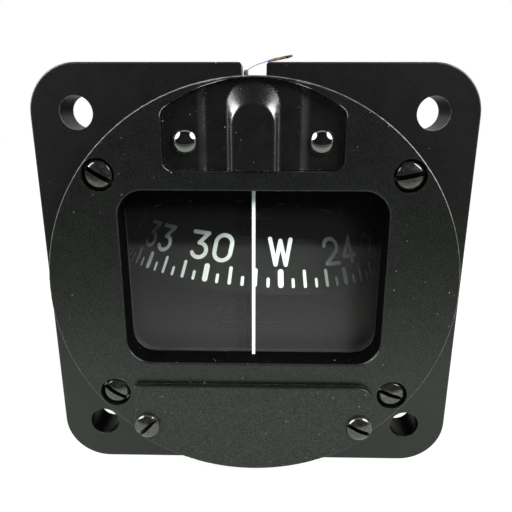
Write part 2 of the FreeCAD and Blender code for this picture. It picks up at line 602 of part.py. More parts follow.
def build_lamp_cover():
    bottom = POCKET_BOTTOM + SEAT_GAP
    plate = pocket_outline(SEAT_GAP, LAMP_COVER_FRONT, POCKET_FLOOR)
    outline = pocket_outline(SEAT_GAP, COVER_STEP_FRONT, LAMP_COVER_FRONT)
    wide = COVER_STEP_HALF_WIDTH
    narrow = wide - COVER_STEP_SLOPE
    slope = [V(-wide, LAMP_COVER_FRONT, 0), V(-narrow, COVER_STEP_FRONT, 0),
             V(narrow, COVER_STEP_FRONT, 0), V(wide, LAMP_COVER_FRONT, 0)]
    step = Part.Face(Part.makePolygon(slope + [slope[0]])).extrude(UP * BEZEL_RADIUS).common(outline)
    rib_bottom = bottom + RIB_BOTTOM_GAP
    rib = Part.makeLoft([arched_wire(RIB_BASE_HALF_WIDTH, RIB_ARCH_BASE, rib_bottom, COVER_STEP_FRONT),
                         arched_wire(RIB_FRONT_HALF_WIDTH, RIB_ARCH_FRONT, rib_bottom, BEZEL_FRONT - RIB_PROUD)],
                        True, True)
    at_front = [edge for edge in rib.Edges if edge.BoundBox.YMax < BEZEL_FRONT]
    crown = [edge for edge in at_front if edge.BoundBox.ZMax > RIB_ARCH_FRONT]
    rib = rib.makeFillet(COVER_STEP_HEIGHT, crown)
    cover = fuse([plate, step, rib])
    way = rod(HOLDER_RADIUS + LAMP_WAY_GAP, V(0, LAMP_Y, LAMP_BOTTOM - LAMP_WAY_GAP), UP,
              HOLDER_TOP - LAMP_BOTTOM + LAMP_WAY_GAP * 2)
    cover = cover.cut(way)
    for x in (-STUD_X, STUD_X):
        cover = cover.cut(rod(STUD_SHANK_RADIUS + THREAD_GAP, V(x, BEZEL_FRONT, STUD_Z), BACK, POCKET_DEPTH))
    return cover


def build_lamp_cover_studs():
    studs = []
    for x in (-STUD_X, STUD_X):
        ball_radius = (STUD_RADIUS * STUD_RADIUS + STUD_RISE * STUD_RISE) / (STUD_RISE * 2)
        ball = Part.makeSphere(ball_radius, V(x, LAMP_COVER_FRONT + ball_radius - STUD_RISE, STUD_Z))
        front = rod(ball_radius, V(x, LAMP_COVER_FRONT, STUD_Z), FRONT, ball_radius)
        studs.append(fuse([ball.common(front), rod(STUD_SHANK_RADIUS, V(x, LAMP_COVER_FRONT, STUD_Z), BACK,
                                                   STUD_SHANK_LENGTH)]))
    return group(studs)


def build_lamp_bulb():
    centre = V(0, LAMP_Y, LAMP_BOTTOM + BULB_RADIUS)
    straight = rod(BULB_RADIUS, centre, UP, BULB_LENGTH - BULB_RADIUS)
    return fuse([Part.makeSphere(BULB_RADIUS, centre), straight])


def build_lamp_holder():
    return rod(HOLDER_RADIUS, V(0, LAMP_Y, LAMP_TOP), UP, HOLDER_LENGTH)


def lead_tube(points):
    """A round lead along straight runs that are joined by tangent arcs."""
    nodes = [V(*point) for point in points]
    edges = []
    start = nodes[0]
    smallest = None
    for before, corner, after in zip(nodes, nodes[1:], nodes[2:]):
        run_in = corner - before
        run_out = after - corner
        reach = LEAD_BEND_SHARE * min(run_in.Length, run_out.Length)
        toward = V(run_in).normalize()
        onward = V(run_out).normalize()
        half_turn = toward.getAngle(onward) / 2
        radius = reach / math.tan(half_turn)
        smallest = radius if smallest is None else min(smallest, radius)
        first = corner - toward * reach
        last = corner + onward * reach
        inward = V(onward - toward).normalize()
        middle = corner + inward * (radius / math.cos(half_turn) - radius)
        edges.append(Part.LineSegment(start, first).toShape())
        edges.append(Part.Arc(first, middle, last).toShape())
        start = last
    edges.append(Part.LineSegment(start, nodes[-1]).toShape())
    path = Part.Wire(edges)
    opening = V(nodes[1] - nodes[0]).normalize()
    section = Part.Wire(Part.makeCircle(LEAD_RADIUS, nodes[0], opening))
    tube = path.makePipeShell([section], True, False)
    section_area = math.pi * LEAD_RADIUS * LEAD_RADIUS
    print("lead length", round(path.Length, 2), "smallest radius", round(smallest, 2),
          "volume over section times length", round(tube.Volume / (section_area * path.Length), 4))
    return tube


def is_top_left(edge):
    """True for the edges of the cover plate's upper left corner."""
    return edge.BoundBox.XMax < 0 and edge.BoundBox.ZMin > PLATE_TOP - PLATE_TIGHT_CORNER * 2


def build_compensator_cover():
    disc = rod(BEZEL_RADIUS - RUNNING_GAP, V(0, PLATE_FRONT, 0), BACK, PLATE_THICKNESS)
    block = box(-PLATE_HALF_WIDTH, PLATE_HALF_WIDTH, PLATE_FRONT, BEZEL_FRONT, -BEZEL_RADIUS, PLATE_TOP)
    plate = disc.common(block)
    corners = [edge for edge in plate.Edges if runs_back(edge)]
    plate = plate.makeFillet(PLATE_TIGHT_CORNER, [edge for edge in corners if is_top_left(edge)])
    corners = [edge for edge in plate.Edges if runs_back(edge)]
    plate = plate.makeFillet(PLATE_CORNER, [edge for edge in corners if not is_top_left(edge)])
    front_edges = [edge for edge in plate.Edges if edge.BoundBox.YMax < PLATE_FRONT + PLATE_EDGE]
    plate = plate.makeFillet(PLATE_EDGE, front_edges)
    for x in (-PLATE_SCREW_X, PLATE_SCREW_X):
        plate = plate.cut(rod(PLATE_SHANK_RADIUS + THREAD_GAP, V(x, PLATE_FRONT - CUT_OVERRUN, PLATE_SCREW_Z), BACK,
                              PLATE_THICKNESS + CUT_OVERRUN * 2))
    return plate


def build_compensator_cover_screws():
    return group([front_screw(x, PLATE_FRONT, PLATE_SCREW_Z, PLATE_HEAD_RADIUS, PLATE_HEAD_HEIGHT,
                              PLATE_SHANK_RADIUS, PLATE_SHANK_LENGTH + PLATE_THICKNESS, SLOT_WIDTH, SLOT_DEPTH,
                              turn, HEAD_EDGE)
                  for x, turn in zip((-PLATE_SCREW_X, PLATE_SCREW_X), PLATE_SLOT_TURNS)])


def build_compensator_frame():
    half_width = BAY_HALF_WIDTH - FRAME_SIDE_GAP
    low = BAY_Z - BAY_HALF_HEIGHT + FRAME_SIDE_GAP
    high = BAY_Z + BAY_HALF_HEIGHT - FRAME_SIDE_GAP
    front = rounded_slab(-BAY_DOOR_HALF_WIDTH + FRAME_FRONT_GAP, BAY_DOOR_HALF_WIDTH - FRAME_FRONT_GAP,
                         BAY_Z - BAY_DOOR_HALF_HEIGHT + FRAME_FRONT_GAP,
                         BAY_Z + BAY_DOOR_HALF_HEIGHT - FRAME_FRONT_GAP,
                         BAY_DOOR_CORNER, -FRAME_FRONT_THICKNESS, 0)
    pieces = [front]
    for y in (FRAME_WALL_Y, FRAME_REAR_WALL_Y):
        pieces.append(box(-half_width, half_width, y, y + FRAME_CROSS_WALL, low, high))
    for x in (-half_width, half_width - FRAME_WALL):
        pieces.append(box(x, x + FRAME_WALL, 0, FRAME_LENGTH, low, high))
    pieces.append(box(FRAME_RIB_X, FRAME_RIB_X + FRAME_WALL, FRAME_REAR_WALL_Y, FRAME_LENGTH, low, high))
    frame = fuse(pieces)
    bores = []
    for x in (EAST_WEST_X, NORTH_SOUTH_X):
        bores.append(rod(DRIVE_SHAFT_RADIUS + RUNNING_GAP, V(x, -FRAME_FRONT_THICKNESS - CUT_OVERRUN, BAY_Z), BACK,
                         FRAME_REAR_WALL_Y + FRAME_CROSS_WALL + CUT_OVERRUN * 2 + FRAME_FRONT_THICKNESS))
    idler_x = EAST_WEST_X + GEAR_PITCH_RADIUS * 2
    bores.append(rod(IDLER_PIN_RADIUS, V(idler_x, FRAME_WALL_Y - CUT_OVERRUN, BAY_Z), BACK,
                     FRAME_REAR_WALL_Y + FRAME_CROSS_WALL + CUT_OVERRUN * 2 - FRAME_WALL_Y))
    bores.append(rod(IDLER_PIN_RADIUS, V(-half_width - CUT_OVERRUN + BAY_HALF_WIDTH, BEVEL_APEX_Y, BAY_Z), RIGHT,
                     half_width + CUT_OVERRUN * 2))
    bores.append(rod(IDLER_PIN_RADIUS, V(FRAME_RIB_X - CUT_OVERRUN, BEVEL_APEX_Y, BAY_Z), RIGHT,
                     FRAME_WALL + CUT_OVERRUN * 2))
    for x in (-FRAME_SCREW_X, FRAME_SCREW_X):
        bores.append(rod(FRAME_SCREW_SHANK_RADIUS + THREAD_GAP, V(x, -FRAME_FRONT_THICKNESS - CUT_OVERRUN, BAY_Z),
                         BACK, FRAME_FRONT_THICKNESS + CUT_OVERRUN * 2))
    return frame.cut(bores[0].multiFuse(bores[1:]))


def build_compensator_frame_screws():
    return group([front_screw(x, -FRAME_FRONT_THICKNESS, BAY_Z, FRAME_SCREW_HEAD_RADIUS, FRAME_SCREW_HEAD_HEIGHT,
                              FRAME_SCREW_SHANK_RADIUS, FRAME_SCREW_LENGTH + FRAME_FRONT_THICKNESS,
                              FRAME_SLOT_WIDTH, FRAME_SLOT_DEPTH, turn, FRAME_SLOT_DEPTH / 2)
                  for x, turn in zip((-FRAME_SCREW_X, FRAME_SCREW_X), BEZEL_SLOT_TURNS)])


def drive_head(x):
    return front_screw(x, DRIVE_HEAD_BACK, BAY_Z, DRIVE_HEAD_RADIUS, DRIVE_HEAD_LENGTH, DRIVE_SHAFT_RADIUS,
                       FRAME_REAR_WALL_Y + FRAME_CROSS_WALL - DRIVE_HEAD_BACK, SLOT_WIDTH, SLOT_DEPTH, 0, HEAD_EDGE)


def magnet_drum(x):
    """The drum behind a spur gear, bored across for its magnet."""
    back = GEAR_Y + GEAR_WIDTH
    drum = rod(DRUM_RADIUS, V(x, back, BAY_Z), BACK, DRUM_LENGTH)
    return drum


def magnet_way(x):
    return rod(DRUM_MAGNET_RADIUS, V(x - DRUM_MAGNET_LENGTH, GEAR_Y + GEAR_WIDTH + DRUM_LENGTH / 2, BAY_Z),
               RIGHT, DRUM_MAGNET_LENGTH * 2)


def drum_magnet(x):
    return rod(DRUM_MAGNET_RADIUS, V(x - DRUM_MAGNET_LENGTH / 2, GEAR_Y + GEAR_WIDTH + DRUM_LENGTH / 2, BAY_Z),
               RIGHT, DRUM_MAGNET_LENGTH)


def build_east_west_drive():
    shaft = fuse([drive_head(EAST_WEST_X), spur_gear(EAST_WEST_X, 0), magnet_drum(EAST_WEST_X)])
    return shaft.cut(magnet_way(EAST_WEST_X))


def idler_magnet(x):
    """The idler's magnet is two short bars, one each side of the pin."""
    whole = drum_magnet(x)
    keep_clear = rod(IDLER_PIN_RADIUS + RUNNING_GAP * 2, V(x, GEAR_Y, BAY_Z), BACK, GEAR_WIDTH + DRUM_LENGTH * 2)
    return whole.cut(keep_clear)


def build_east_west_idler():
    x = EAST_WEST_X + GEAR_PITCH_RADIUS * 2
    half_pitch = 180 / GEAR_TEETH
    wheel = fuse([spur_gear(x, 180 + half_pitch), magnet_drum(x)])
    bore = rod(IDLER_PIN_RADIUS + RUNNING_GAP, V(x, 0, BAY_Z), BACK, FRAME_LENGTH)
    return wheel.cut(bore).cut(magnet_way(x))


def build_idler_pin():
    x = EAST_WEST_X + GEAR_PITCH_RADIUS * 2
    return rod(IDLER_PIN_RADIUS, V(x, FRAME_WALL_Y, BAY_Z), BACK,
               FRAME_REAR_WALL_Y + FRAME_CROSS_WALL - FRAME_WALL_Y)


def build_north_south_drive():
    pinion = bevel_gear(FRONT, RIGHT, 0)
    reach = rod(DRIVE_SHAFT_RADIUS, V(NORTH_SOUTH_X, FRAME_REAR_WALL_Y, BAY_Z), BACK,
                BEVEL_APEX_Y - BEVEL_PITCH_RADIUS - FRAME_REAR_WALL_Y)
    return fuse([drive_head(NORTH_SOUTH_X), pinion, reach])


def wheel_magnet_centre(side):
    out = BEVEL_PITCH_RADIUS + WHEEL_DRUM_LENGTH / 2
    return V(NORTH_SOUTH_X + side * out, BEVEL_APEX_Y, BAY_Z)


def build_north_south_wheel(side):
    away = RIGHT * side
    half_pitch = 180 / BEVEL_TEETH
    teeth = bevel_gear(away, BACK, half_pitch)
    drum = rod(WHEEL_DRUM_RADIUS, V(NORTH_SOUTH_X + side * BEVEL_PITCH_RADIUS, BEVEL_APEX_Y, BAY_Z), away,
               WHEEL_DRUM_LENGTH)
    bore = rod(IDLER_PIN_RADIUS + RUNNING_GAP, V(NORTH_SOUTH_X, BEVEL_APEX_Y, BAY_Z), away, BAY_HALF_WIDTH)
    centre = wheel_magnet_centre(side)
    way = rod(DRUM_MAGNET_RADIUS, centre - BACK * DRUM_MAGNET_LENGTH, BACK, DRUM_MAGNET_LENGTH * 2)
    return fuse([teeth, drum]).cut(bore).cut(way)


def build_north_south_magnet(side):
    centre = wheel_magnet_centre(side)
    bar = rod(DRUM_MAGNET_RADIUS, centre - BACK * (DRUM_MAGNET_LENGTH / 2), BACK, DRUM_MAGNET_LENGTH)
    keep_clear = rod(IDLER_PIN_RADIUS + RUNNING_GAP * 2, centre - RIGHT * WHEEL_DRUM_LENGTH, RIGHT,
                     WHEEL_DRUM_LENGTH * 2)
    return bar.cut(keep_clear)


def build_cross_pins():
    toe = BEVEL_PITCH_RADIUS * BEVEL_TOE_SHARE
    half_width = BAY_HALF_WIDTH - FRAME_SIDE_GAP
    left_end = NORTH_SOUTH_X - toe + CROSS_PIN_REACH
    right_end = NORTH_SOUTH_X + toe - CROSS_PIN_REACH
    left = rod(IDLER_PIN_RADIUS, V(FRAME_RIB_X, BEVEL_APEX_Y, BAY_Z), RIGHT, left_end - FRAME_RIB_X)
    right = rod(IDLER_PIN_RADIUS, V(right_end, BEVEL_APEX_Y, BAY_Z), RIGHT, half_width - right_end)
    return group([left, right])


def card_radius(height):
    return CARD_BOTTOM_RADIUS - (height - CARD_BOTTOM) * math.tan(math.radians(CARD_LEAN))


def build_compass_card():
    inner_top = CARD_TOP - CARD_THICKNESS
    pairs = [(CARD_BOTTOM_RADIUS, CARD_BOTTOM), (card_radius(CARD_TOP), CARD_TOP), (CARD_HOLE_RADIUS, CARD_TOP),
             (CARD_HOLE_RADIUS, inner_top), (card_radius(inner_top) - CARD_THICKNESS, inner_top),
             (CARD_BOTTOM_RADIUS - CARD_THICKNESS, CARD_BOTTOM)]
    return lean_card(turned(upright_profile(SPINE, pairs), SPINE, UP))


def build_card_float():
    top = CARD_TOP - CARD_THICKNESS
    pairs = [(FLOAT_INNER_RADIUS, top), (FLOAT_INNER_RADIUS, FLOAT_BOTTOM), (FLOAT_OUTER_RADIUS, FLOAT_BOTTOM),
             (FLOAT_OUTER_RADIUS, top), (FLOAT_OUTER_RADIUS - FLOAT_WALL, top),
             (FLOAT_OUTER_RADIUS - FLOAT_WALL, FLOAT_BOTTOM + FLOAT_WALL),
             (FLOAT_INNER_RADIUS + FLOAT_WALL, FLOAT_BOTTOM + FLOAT_WALL), (FLOAT_INNER_RADIUS + FLOAT_WALL, top)]
    return lean_card(turned(upright_profile(SPINE, pairs), SPINE, UP))


def build_card_magnets():
    bars = []
    for side in (-1, 1):
        x = side * CARD_MAGNET_SPREAD
        bars.append(box(x - CARD_MAGNET_WIDTH / 2, x + CARD_MAGNET_WIDTH / 2,
                        CARD_Y - CARD_MAGNET_LENGTH / 2, CARD_Y + CARD_MAGNET_LENGTH / 2,
                        FLOAT_BOTTOM - CARD_MAGNET_HEIGHT, FLOAT_BOTTOM))
    pair = group(bars)
    pair.rotate(SPINE, UP, CARD_HEADING)
    return lean_card(pair)


def build_pivot_ball():
    return Part.makeSphere(PIVOT_BALL_RADIUS, V(0, CARD_Y, PIVOT_Z))


def build_pivot_needle():
    base = PIVOT_Z
    pairs = [(0, base), (NEEDLE_TIP_RADIUS, base), (NEEDLE_RADIUS, base + NEEDLE_CONE_LENGTH),
             (NEEDLE_RADIUS, NEEDLE_TOP), (NEEDLE_HEAD_RADIUS, NEEDLE_TOP),
             (NEEDLE_HEAD_RADIUS, NEEDLE_TOP + NEEDLE_HEAD_HEIGHT), (0, NEEDLE_TOP + NEEDLE_HEAD_HEIGHT)]
    needle = turned(upright_profile(SPINE, pairs), SPINE, UP)
    socket = Part.makeSphere(PIVOT_BALL_RADIUS + PIVOT_BALL_GAP, V(0, CARD_Y, PIVOT_Z))
    return lean_card(needle.cut(socket))


def build_pivot_collet():
    flange_bottom = NEEDLE_TOP - RUNNING_GAP - COLLET_FLANGE_HEIGHT
    pairs = [(NEEDLE_RADIUS + RUNNING_GAP, COLLET_BOTTOM), (COLLET_BODY_RADIUS, COLLET_BOTTOM),
             (COLLET_BODY_RADIUS, CARD_TOP), (COLLET_FLANGE_RADIUS, CARD_TOP),
             (COLLET_FLANGE_RADIUS, flange_bottom + COLLET_FLANGE_HEIGHT),
             (NEEDLE_RADIUS + RUNNING_GAP, flange_bottom + COLLET_FLANGE_HEIGHT)]
    return lean_card(turned(upright_profile(SPINE, pairs), SPINE, UP))


def build_jewel_cup():
    body = rod(JEWEL_RADIUS, V(0, CARD_Y, JEWEL_BOTTOM), UP, JEWEL_HEIGHT)
    hollow = Part.makeSphere(JEWEL_CUP_RADIUS, V(0, CARD_Y, JEWEL_TOP + JEWEL_CUP_RADIUS / 2))
    return body.cut(hollow)


def build_jewel_post():
    head_bottom = JEWEL_TOP - JEWEL_POST_HEAD_LENGTH
    stem_bottom = JEWEL_TOP - JEWEL_POST_LENGTH
    head = rod(JEWEL_POST_RADIUS, V(0, CARD_Y, head_bottom), UP, JEWEL_POST_HEAD_LENGTH)
    stem = rod(JEWEL_POST_STEM_RADIUS, V(0, CARD_Y, stem_bottom), UP, JEWEL_POST_LENGTH)
    foot = rod(JEWEL_POST_RADIUS, V(0, CARD_Y, stem_bottom), UP, JEWEL_POST_RADIUS)
    seat = rod(JEWEL_RADIUS, V(0, CARD_Y, JEWEL_BOTTOM), UP, JEWEL_HEIGHT)
    return fuse([head, stem, foot]).cut(seat)


def tangent_arc(start, toward, finish):
    """The arc that leaves the start in a direction and reaches the finish."""
    chord = finish - start
    outward = (V(toward) - chord * (toward.dot(chord) / chord.dot(chord))).normalize()
    sag = chord.Length / 2 * math.tan(toward.getAngle(chord) / 2)
    return Part.Arc(start, (start + finish) / 2 + outward * sag, finish).toShape()


def arc_pair(start, toward, finish, onward):
    """Two tangent arcs that leave the start and reach the finish in the given directions."""
    chord = finish - start
    both = toward + onward
    square = 2 * (1 - toward.dot(onward))
    linear = 2 * chord.dot(both)
    reach = (math.sqrt(linear * linear + 4 * square * chord.dot(chord)) - linear) / (2 * square)
    first = start + toward * reach
    second = finish - onward * reach
    middle = (first + second) / 2
    return [tangent_arc(start, toward, middle), tangent_arc(middle, V(second - first).normalize(), finish)]


def build_jewel_spring():
    """The coil under the post: one wire in half turns, each of two tangent arcs."""
    low = BOSS_TOP + SPRING_WIRE_RADIUS * 2 + SPRING_GAP
    high = JEWEL_TOP - JEWEL_POST_LENGTH - SPRING_WIRE_RADIUS * 2 - SPRING_GAP
    climb = (high - low) / (math.pi * 2 * SPRING_TURNS)

    def place(angle):
        return V(SPRING_COIL_RADIUS * math.cos(angle), CARD_Y + SPRING_COIL_RADIUS * math.sin(angle),
                 low + climb * angle)

    def direction(angle):
        return V(-SPRING_COIL_RADIUS * math.sin(angle), SPRING_COIL_RADIUS * math.cos(angle), climb).normalize()

    edges = []
    for half_turn in range(SPRING_TURNS * 2):
        here = math.pi * half_turn
        there = here + math.pi
        edges.extend(arc_pair(place(here), direction(here), place(there), direction(there)))
    section = Part.Wire(Part.makeCircle(SPRING_WIRE_RADIUS, place(0), direction(0)))
    gap_between_turns = climb * math.pi * 2 - SPRING_WIRE_RADIUS * 2
    print("spring gap between turns", round(gap_between_turns, 2))
    return Part.Wire(edges).makePipeShell([section], True, False)


def build_jewel_bracket():
    base = box(-BRACKET_HALF_WIDTH, BRACKET_HALF_WIDTH, CARD_Y - BRACKET_HALF_LENGTH,
               CARD_Y + BRACKET_HALF_LENGTH, BOSS_TOP, BRACKET_TOP)
    pillar = rod(PILLAR_RADIUS, V(0, CARD_Y, BOSS_TOP), UP, PILLAR_TOP - BOSS_TOP)
    bracket = fuse([base, pillar])
    stem_bottom = JEWEL_TOP - JEWEL_POST_LENGTH
    foot_top = stem_bottom + JEWEL_POST_RADIUS
    bracket = bracket.cut(rod(JEWEL_POST_STEM_RADIUS + RUNNING_GAP, V(0, CARD_Y, foot_top), UP, PILLAR_RADIUS * 4))
    bracket = bracket.cut(rod(SPRING_ROOM_RADIUS, V(0, CARD_Y, BOSS_TOP), UP, foot_top - BOSS_TOP))
    for x in (-BRACKET_SCREW_X, BRACKET_SCREW_X):
        bracket = bracket.cut(rod(BRACKET_SCREW_SHANK_RADIUS + THREAD_GAP, V(x, CARD_Y, BOSS_TOP), UP,
                                  BRACKET_THICKNESS))
    return bracket


def build_jewel_bracket_screws():
    screws = []
    for x in (-BRACKET_SCREW_X, BRACKET_SCREW_X):
        head = rod(BRACKET_SCREW_HEAD_RADIUS, V(x, CARD_Y, BRACKET_TOP), UP, BRACKET_SCREW_HEAD_HEIGHT)
        slot = box(x - BRACKET_SCREW_HEAD_RADIUS, x + BRACKET_SCREW_HEAD_RADIUS, CARD_Y - FRAME_SLOT_WIDTH / 2,
                   CARD_Y + FRAME_SLOT_WIDTH / 2, BRACKET_TOP + FRAME_SLOT_DEPTH,
                   BRACKET_TOP + BRACKET_SCREW_HEAD_HEIGHT)
        shank = rod(BRACKET_SCREW_SHANK_RADIUS, V(x, CARD_Y, BRACKET_TOP), DOWN,
                    BRACKET_THICKNESS + BRACKET_SCREW_LENGTH)
        screws.append(fuse([head.cut(slot), shank]))
    return group(screws)


def build_card_guard():
    foot_bottom = NEEDLE_TOP + NEEDLE_HEAD_HEIGHT + GUARD_GAP
    foot = rod(GUARD_FOOT_RADIUS, V(0, CARD_Y, foot_bottom), UP, GUARD_FOOT_HEIGHT)
    stem = rod(GUARD_STEM_RADIUS, V(0, CARD_Y, foot_bottom), UP, BORE_RADIUS + GUARD_SEAT_DEPTH - foot_bottom)
    return fuse([foot, stem])


def build_diaphragm():
    """A thin disc with round corrugations and a flat clamped rim."""
    near = CASE_LENGTH
    front_points = [(0, near), (DIAPHRAGM_FLAT_RADIUS, near)]
    radius = DIAPHRAGM_FLAT_RADIUS
    for wave in range(DIAPHRAGM_WAVES):
        front_points.append((radius + DIAPHRAGM_WAVE_WIDTH / 2, near + DIAPHRAGM_WAVE))
        radius += DIAPHRAGM_WAVE_WIDTH
        front_points.append((radius, near))
    front_points.append((DIAPHRAGM_RADIUS, near))
    back_points = [(r, y + DIAPHRAGM_THICKNESS) for r, y in reversed(front_points)]
    profile = [V(r, y, 0) for r, y in front_points + back_points]
    return turned(profile, V(0, 0, 0), BACK)


def build_rear_gasket():
    near = CASE_LENGTH + DIAPHRAGM_THICKNESS
    outer = rod(DIAPHRAGM_RADIUS, V(0, near, 0), BACK, REAR_GASKET_THICKNESS)
    return outer.cut(rod(BORE_RADIUS, V(0, near - CUT_OVERRUN, 0), BACK, REAR_GASKET_THICKNESS + CUT_OVERRUN * 2))


def rear_screw_places():
    places = []
    for number in range(REAR_SCREW_COUNT):
        angle = math.radians((number + 1 / 2) * 360 / REAR_SCREW_COUNT)
        places.append(V(REAR_SCREW_CIRCLE * math.cos(angle), 0, REAR_SCREW_CIRCLE * math.sin(angle)))
    return places


def build_rear_cover():
    back = CASE_LENGTH + REAR_COVER_THICKNESS
    cover = rod(RIM_RADIUS, V(0, CASE_LENGTH, 0), BACK, REAR_COVER_THICKNESS)
    cover = cover.makeFillet(REAR_EDGE, [edge for edge in cover.Edges if edge.BoundBox.YMin > back - REAR_EDGE])
    seat_depth = DIAPHRAGM_THICKNESS + REAR_GASKET_THICKNESS
    cuts = [rod(DIAPHRAGM_RADIUS + REAR_COVER_STEP, V(0, CASE_LENGTH - CUT_OVERRUN, 0), BACK,
                seat_depth + CUT_OVERRUN)]
    cuts.append(rod(BORE_RADIUS, V(0, CASE_LENGTH, 0), BACK, seat_depth + REAR_ROOM_DEPTH))
    cuts.append(rod(VENT_RADIUS, V(0, CASE_LENGTH, 0), BACK, REAR_COVER_THICKNESS + CUT_OVERRUN))
    for place in rear_screw_places():
        cuts.append(rod(REAR_SHANK_RADIUS + THREAD_GAP, V(place.x, CASE_LENGTH - CUT_OVERRUN, place.z), BACK,
                        REAR_COVER_THICKNESS + CUT_OVERRUN * 2))
    return cover.cut(cuts[0].multiFuse(cuts[1:]))


def build_rear_cover_screws():
    screws = []
    back = CASE_LENGTH + REAR_COVER_THICKNESS
    for number, place in enumerate(rear_screw_places()):
        head = rod(REAR_HEAD_RADIUS, V(place.x, back, place.z), BACK, REAR_HEAD_HEIGHT)
        slot = box(place.x - REAR_HEAD_RADIUS * 2, place.x + REAR_HEAD_RADIUS * 2,
                   back + REAR_HEAD_HEIGHT - REAR_SLOT_DEPTH, back + REAR_HEAD_HEIGHT + REAR_SLOT_DEPTH,
                   place.z - REAR_SLOT_WIDTH / 2, place.z + REAR_SLOT_WIDTH / 2)
        slot.rotate(V(place.x, back, place.z), BACK, number * 360 / (REAR_SCREW_COUNT + 1))
        shank = rod(REAR_SHANK_RADIUS, V(place.x, back, place.z), FRONT, REAR_SHANK_LENGTH)
        screws.append(fuse([head.cut(slot), shank]))
    return group(screws)


def build_filler_washer():
    outer = rod(FILLER_WASHER_RADIUS, V(0, FILLER_Y, FILLER_BOSS_TOP), UP, FILLER_WASHER_THICKNESS)
    return outer.cut(rod(FILLER_THREAD_RADIUS + THREAD_GAP, V(0, FILLER_Y, FILLER_BOSS_TOP - CUT_OVERRUN), UP,
                         FILLER_WASHER_THICKNESS + CUT_OVERRUN * 2))


def build_filler_plug():
    seat = FILLER_BOSS_TOP + FILLER_WASHER_THICKNESS
    head = rod(FILLER_HEAD_RADIUS, V(0, FILLER_Y, seat), UP, FILLER_HEAD_HEIGHT)
    head = head.makeChamfer(HEAD_EDGE, [edge for edge in head.Edges if edge.BoundBox.ZMin > seat + HEAD_EDGE])
    slot = box(-FILLER_HEAD_RADIUS, FILLER_HEAD_RADIUS, FILLER_Y - SLOT_WIDTH / 2, FILLER_Y + SLOT_WIDTH / 2,
               seat + FILLER_HEAD_HEIGHT - SLOT_DEPTH, seat + FILLER_HEAD_HEIGHT)
    thread = rod(FILLER_THREAD_RADIUS, V(0, FILLER_Y, seat), DOWN, FILLER_THREAD_LENGTH + FILLER_WASHER_THICKNESS)
    return fuse([head.cut(slot), thread])


NODES = {
    "case": build_case,
    "bezel": build_bezel,
    "bezel_screws": build_bezel_screws,
    "front_glass": build_glass,
    "front_gasket": lambda: build_glass_gasket(0),
    "inner_gasket": lambda: build_glass_gasket(GLASS_BACK),
    "lubber_line": build_lubber_line,
    "lamp_cover": build_lamp_cover,
    "lamp_cover_studs": build_lamp_cover_studs,
    "lamp_bulb": build_lamp_bulb,
    "lamp_holder": build_lamp_holder,
    "lamp_lead_right": lambda: lead_tube(RIGHT_LEAD_POINTS),
    "lamp_lead_left": lambda: lead_tube(LEFT_LEAD_POINTS),
    "compensator_cover": build_compensator_cover,
    "compensator_cover_screws": build_compensator_cover_screws,
    "compensator_frame": build_compensator_frame,
    "compensator_frame_screws": build_compensator_frame_screws,
    "east_west_drive": build_east_west_drive,
    "east_west_drive_magnet": lambda: drum_magnet(EAST_WEST_X),
    "east_west_idler": build_east_west_idler,
    "east_west_idler_magnet": lambda: idler_magnet(EAST_WEST_X + GEAR_PITCH_RADIUS * 2),
    "idler_pin": build_idler_pin,
    "north_south_drive": build_north_south_drive,
    "north_south_wheel_left": lambda: build_north_south_wheel(-1),
    "north_south_wheel_right": lambda: build_north_south_wheel(1),
    "north_south_magnet_left": lambda: build_north_south_magnet(-1),
    "north_south_magnet_right": lambda: build_north_south_magnet(1),
    "cross_pins": build_cross_pins,
    "compass_card": build_compass_card,
    "card_float": build_card_float,
    "card_magnets": build_card_magnets,
    "pivot_ball": build_pivot_ball,
    "pivot_needle": build_pivot_needle,
    "pivot_collet": build_pivot_collet,
    "jewel_cup": build_jewel_cup,
    "jewel_post": build_jewel_post,
    "jewel_spring": build_jewel_spring,
    "jewel_bracket": build_jewel_bracket,
    "jewel_bracket_screws": build_jewel_bracket_screws,
    "card_guard": build_card_guard,
    "diaphragm": build_diaphragm,
    "rear_gasket": build_rear_gasket,
    "rear_cover": build_rear_cover,
    "rear_cover_screws": build_rear_cover_screws,
    "filler_washer": build_filler_washer,
    "filler_plug": build_filler_plug,
}

os.makedirs("parts", exist_ok=True)
for name, build in NODES.items():
    shape = build()
    shape.exportStep("parts/" + name + ".step")
    bounds = shape.BoundBox
    print(name, "solids", len(shape.Solids), "valid", shape.isValid(), "volume", round(shape.Volume, 2),
          "box", [round(value, 2) for value in (bounds.XMin, bounds.XMax, bounds.YMin, bounds.YMax,
                                                bounds.ZMin, bounds.ZMax)])
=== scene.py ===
"""The looks of a panel mount compass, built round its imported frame.

Lengths are written in millimetres, in the frame of the part: +X to the reader's right, +Y back into the
panel and +Z up, with the origin in the middle of the four mounting holes.
"""

import json
import logging
import math
from abc import ABC, abstractmethod
from collections.abc import Callable, Iterator, Sequence
from dataclasses import dataclass, field
from enum import Enum
from typing import NamedTuple

import bmesh
import bpy
from mathutils import Matrix, Vector


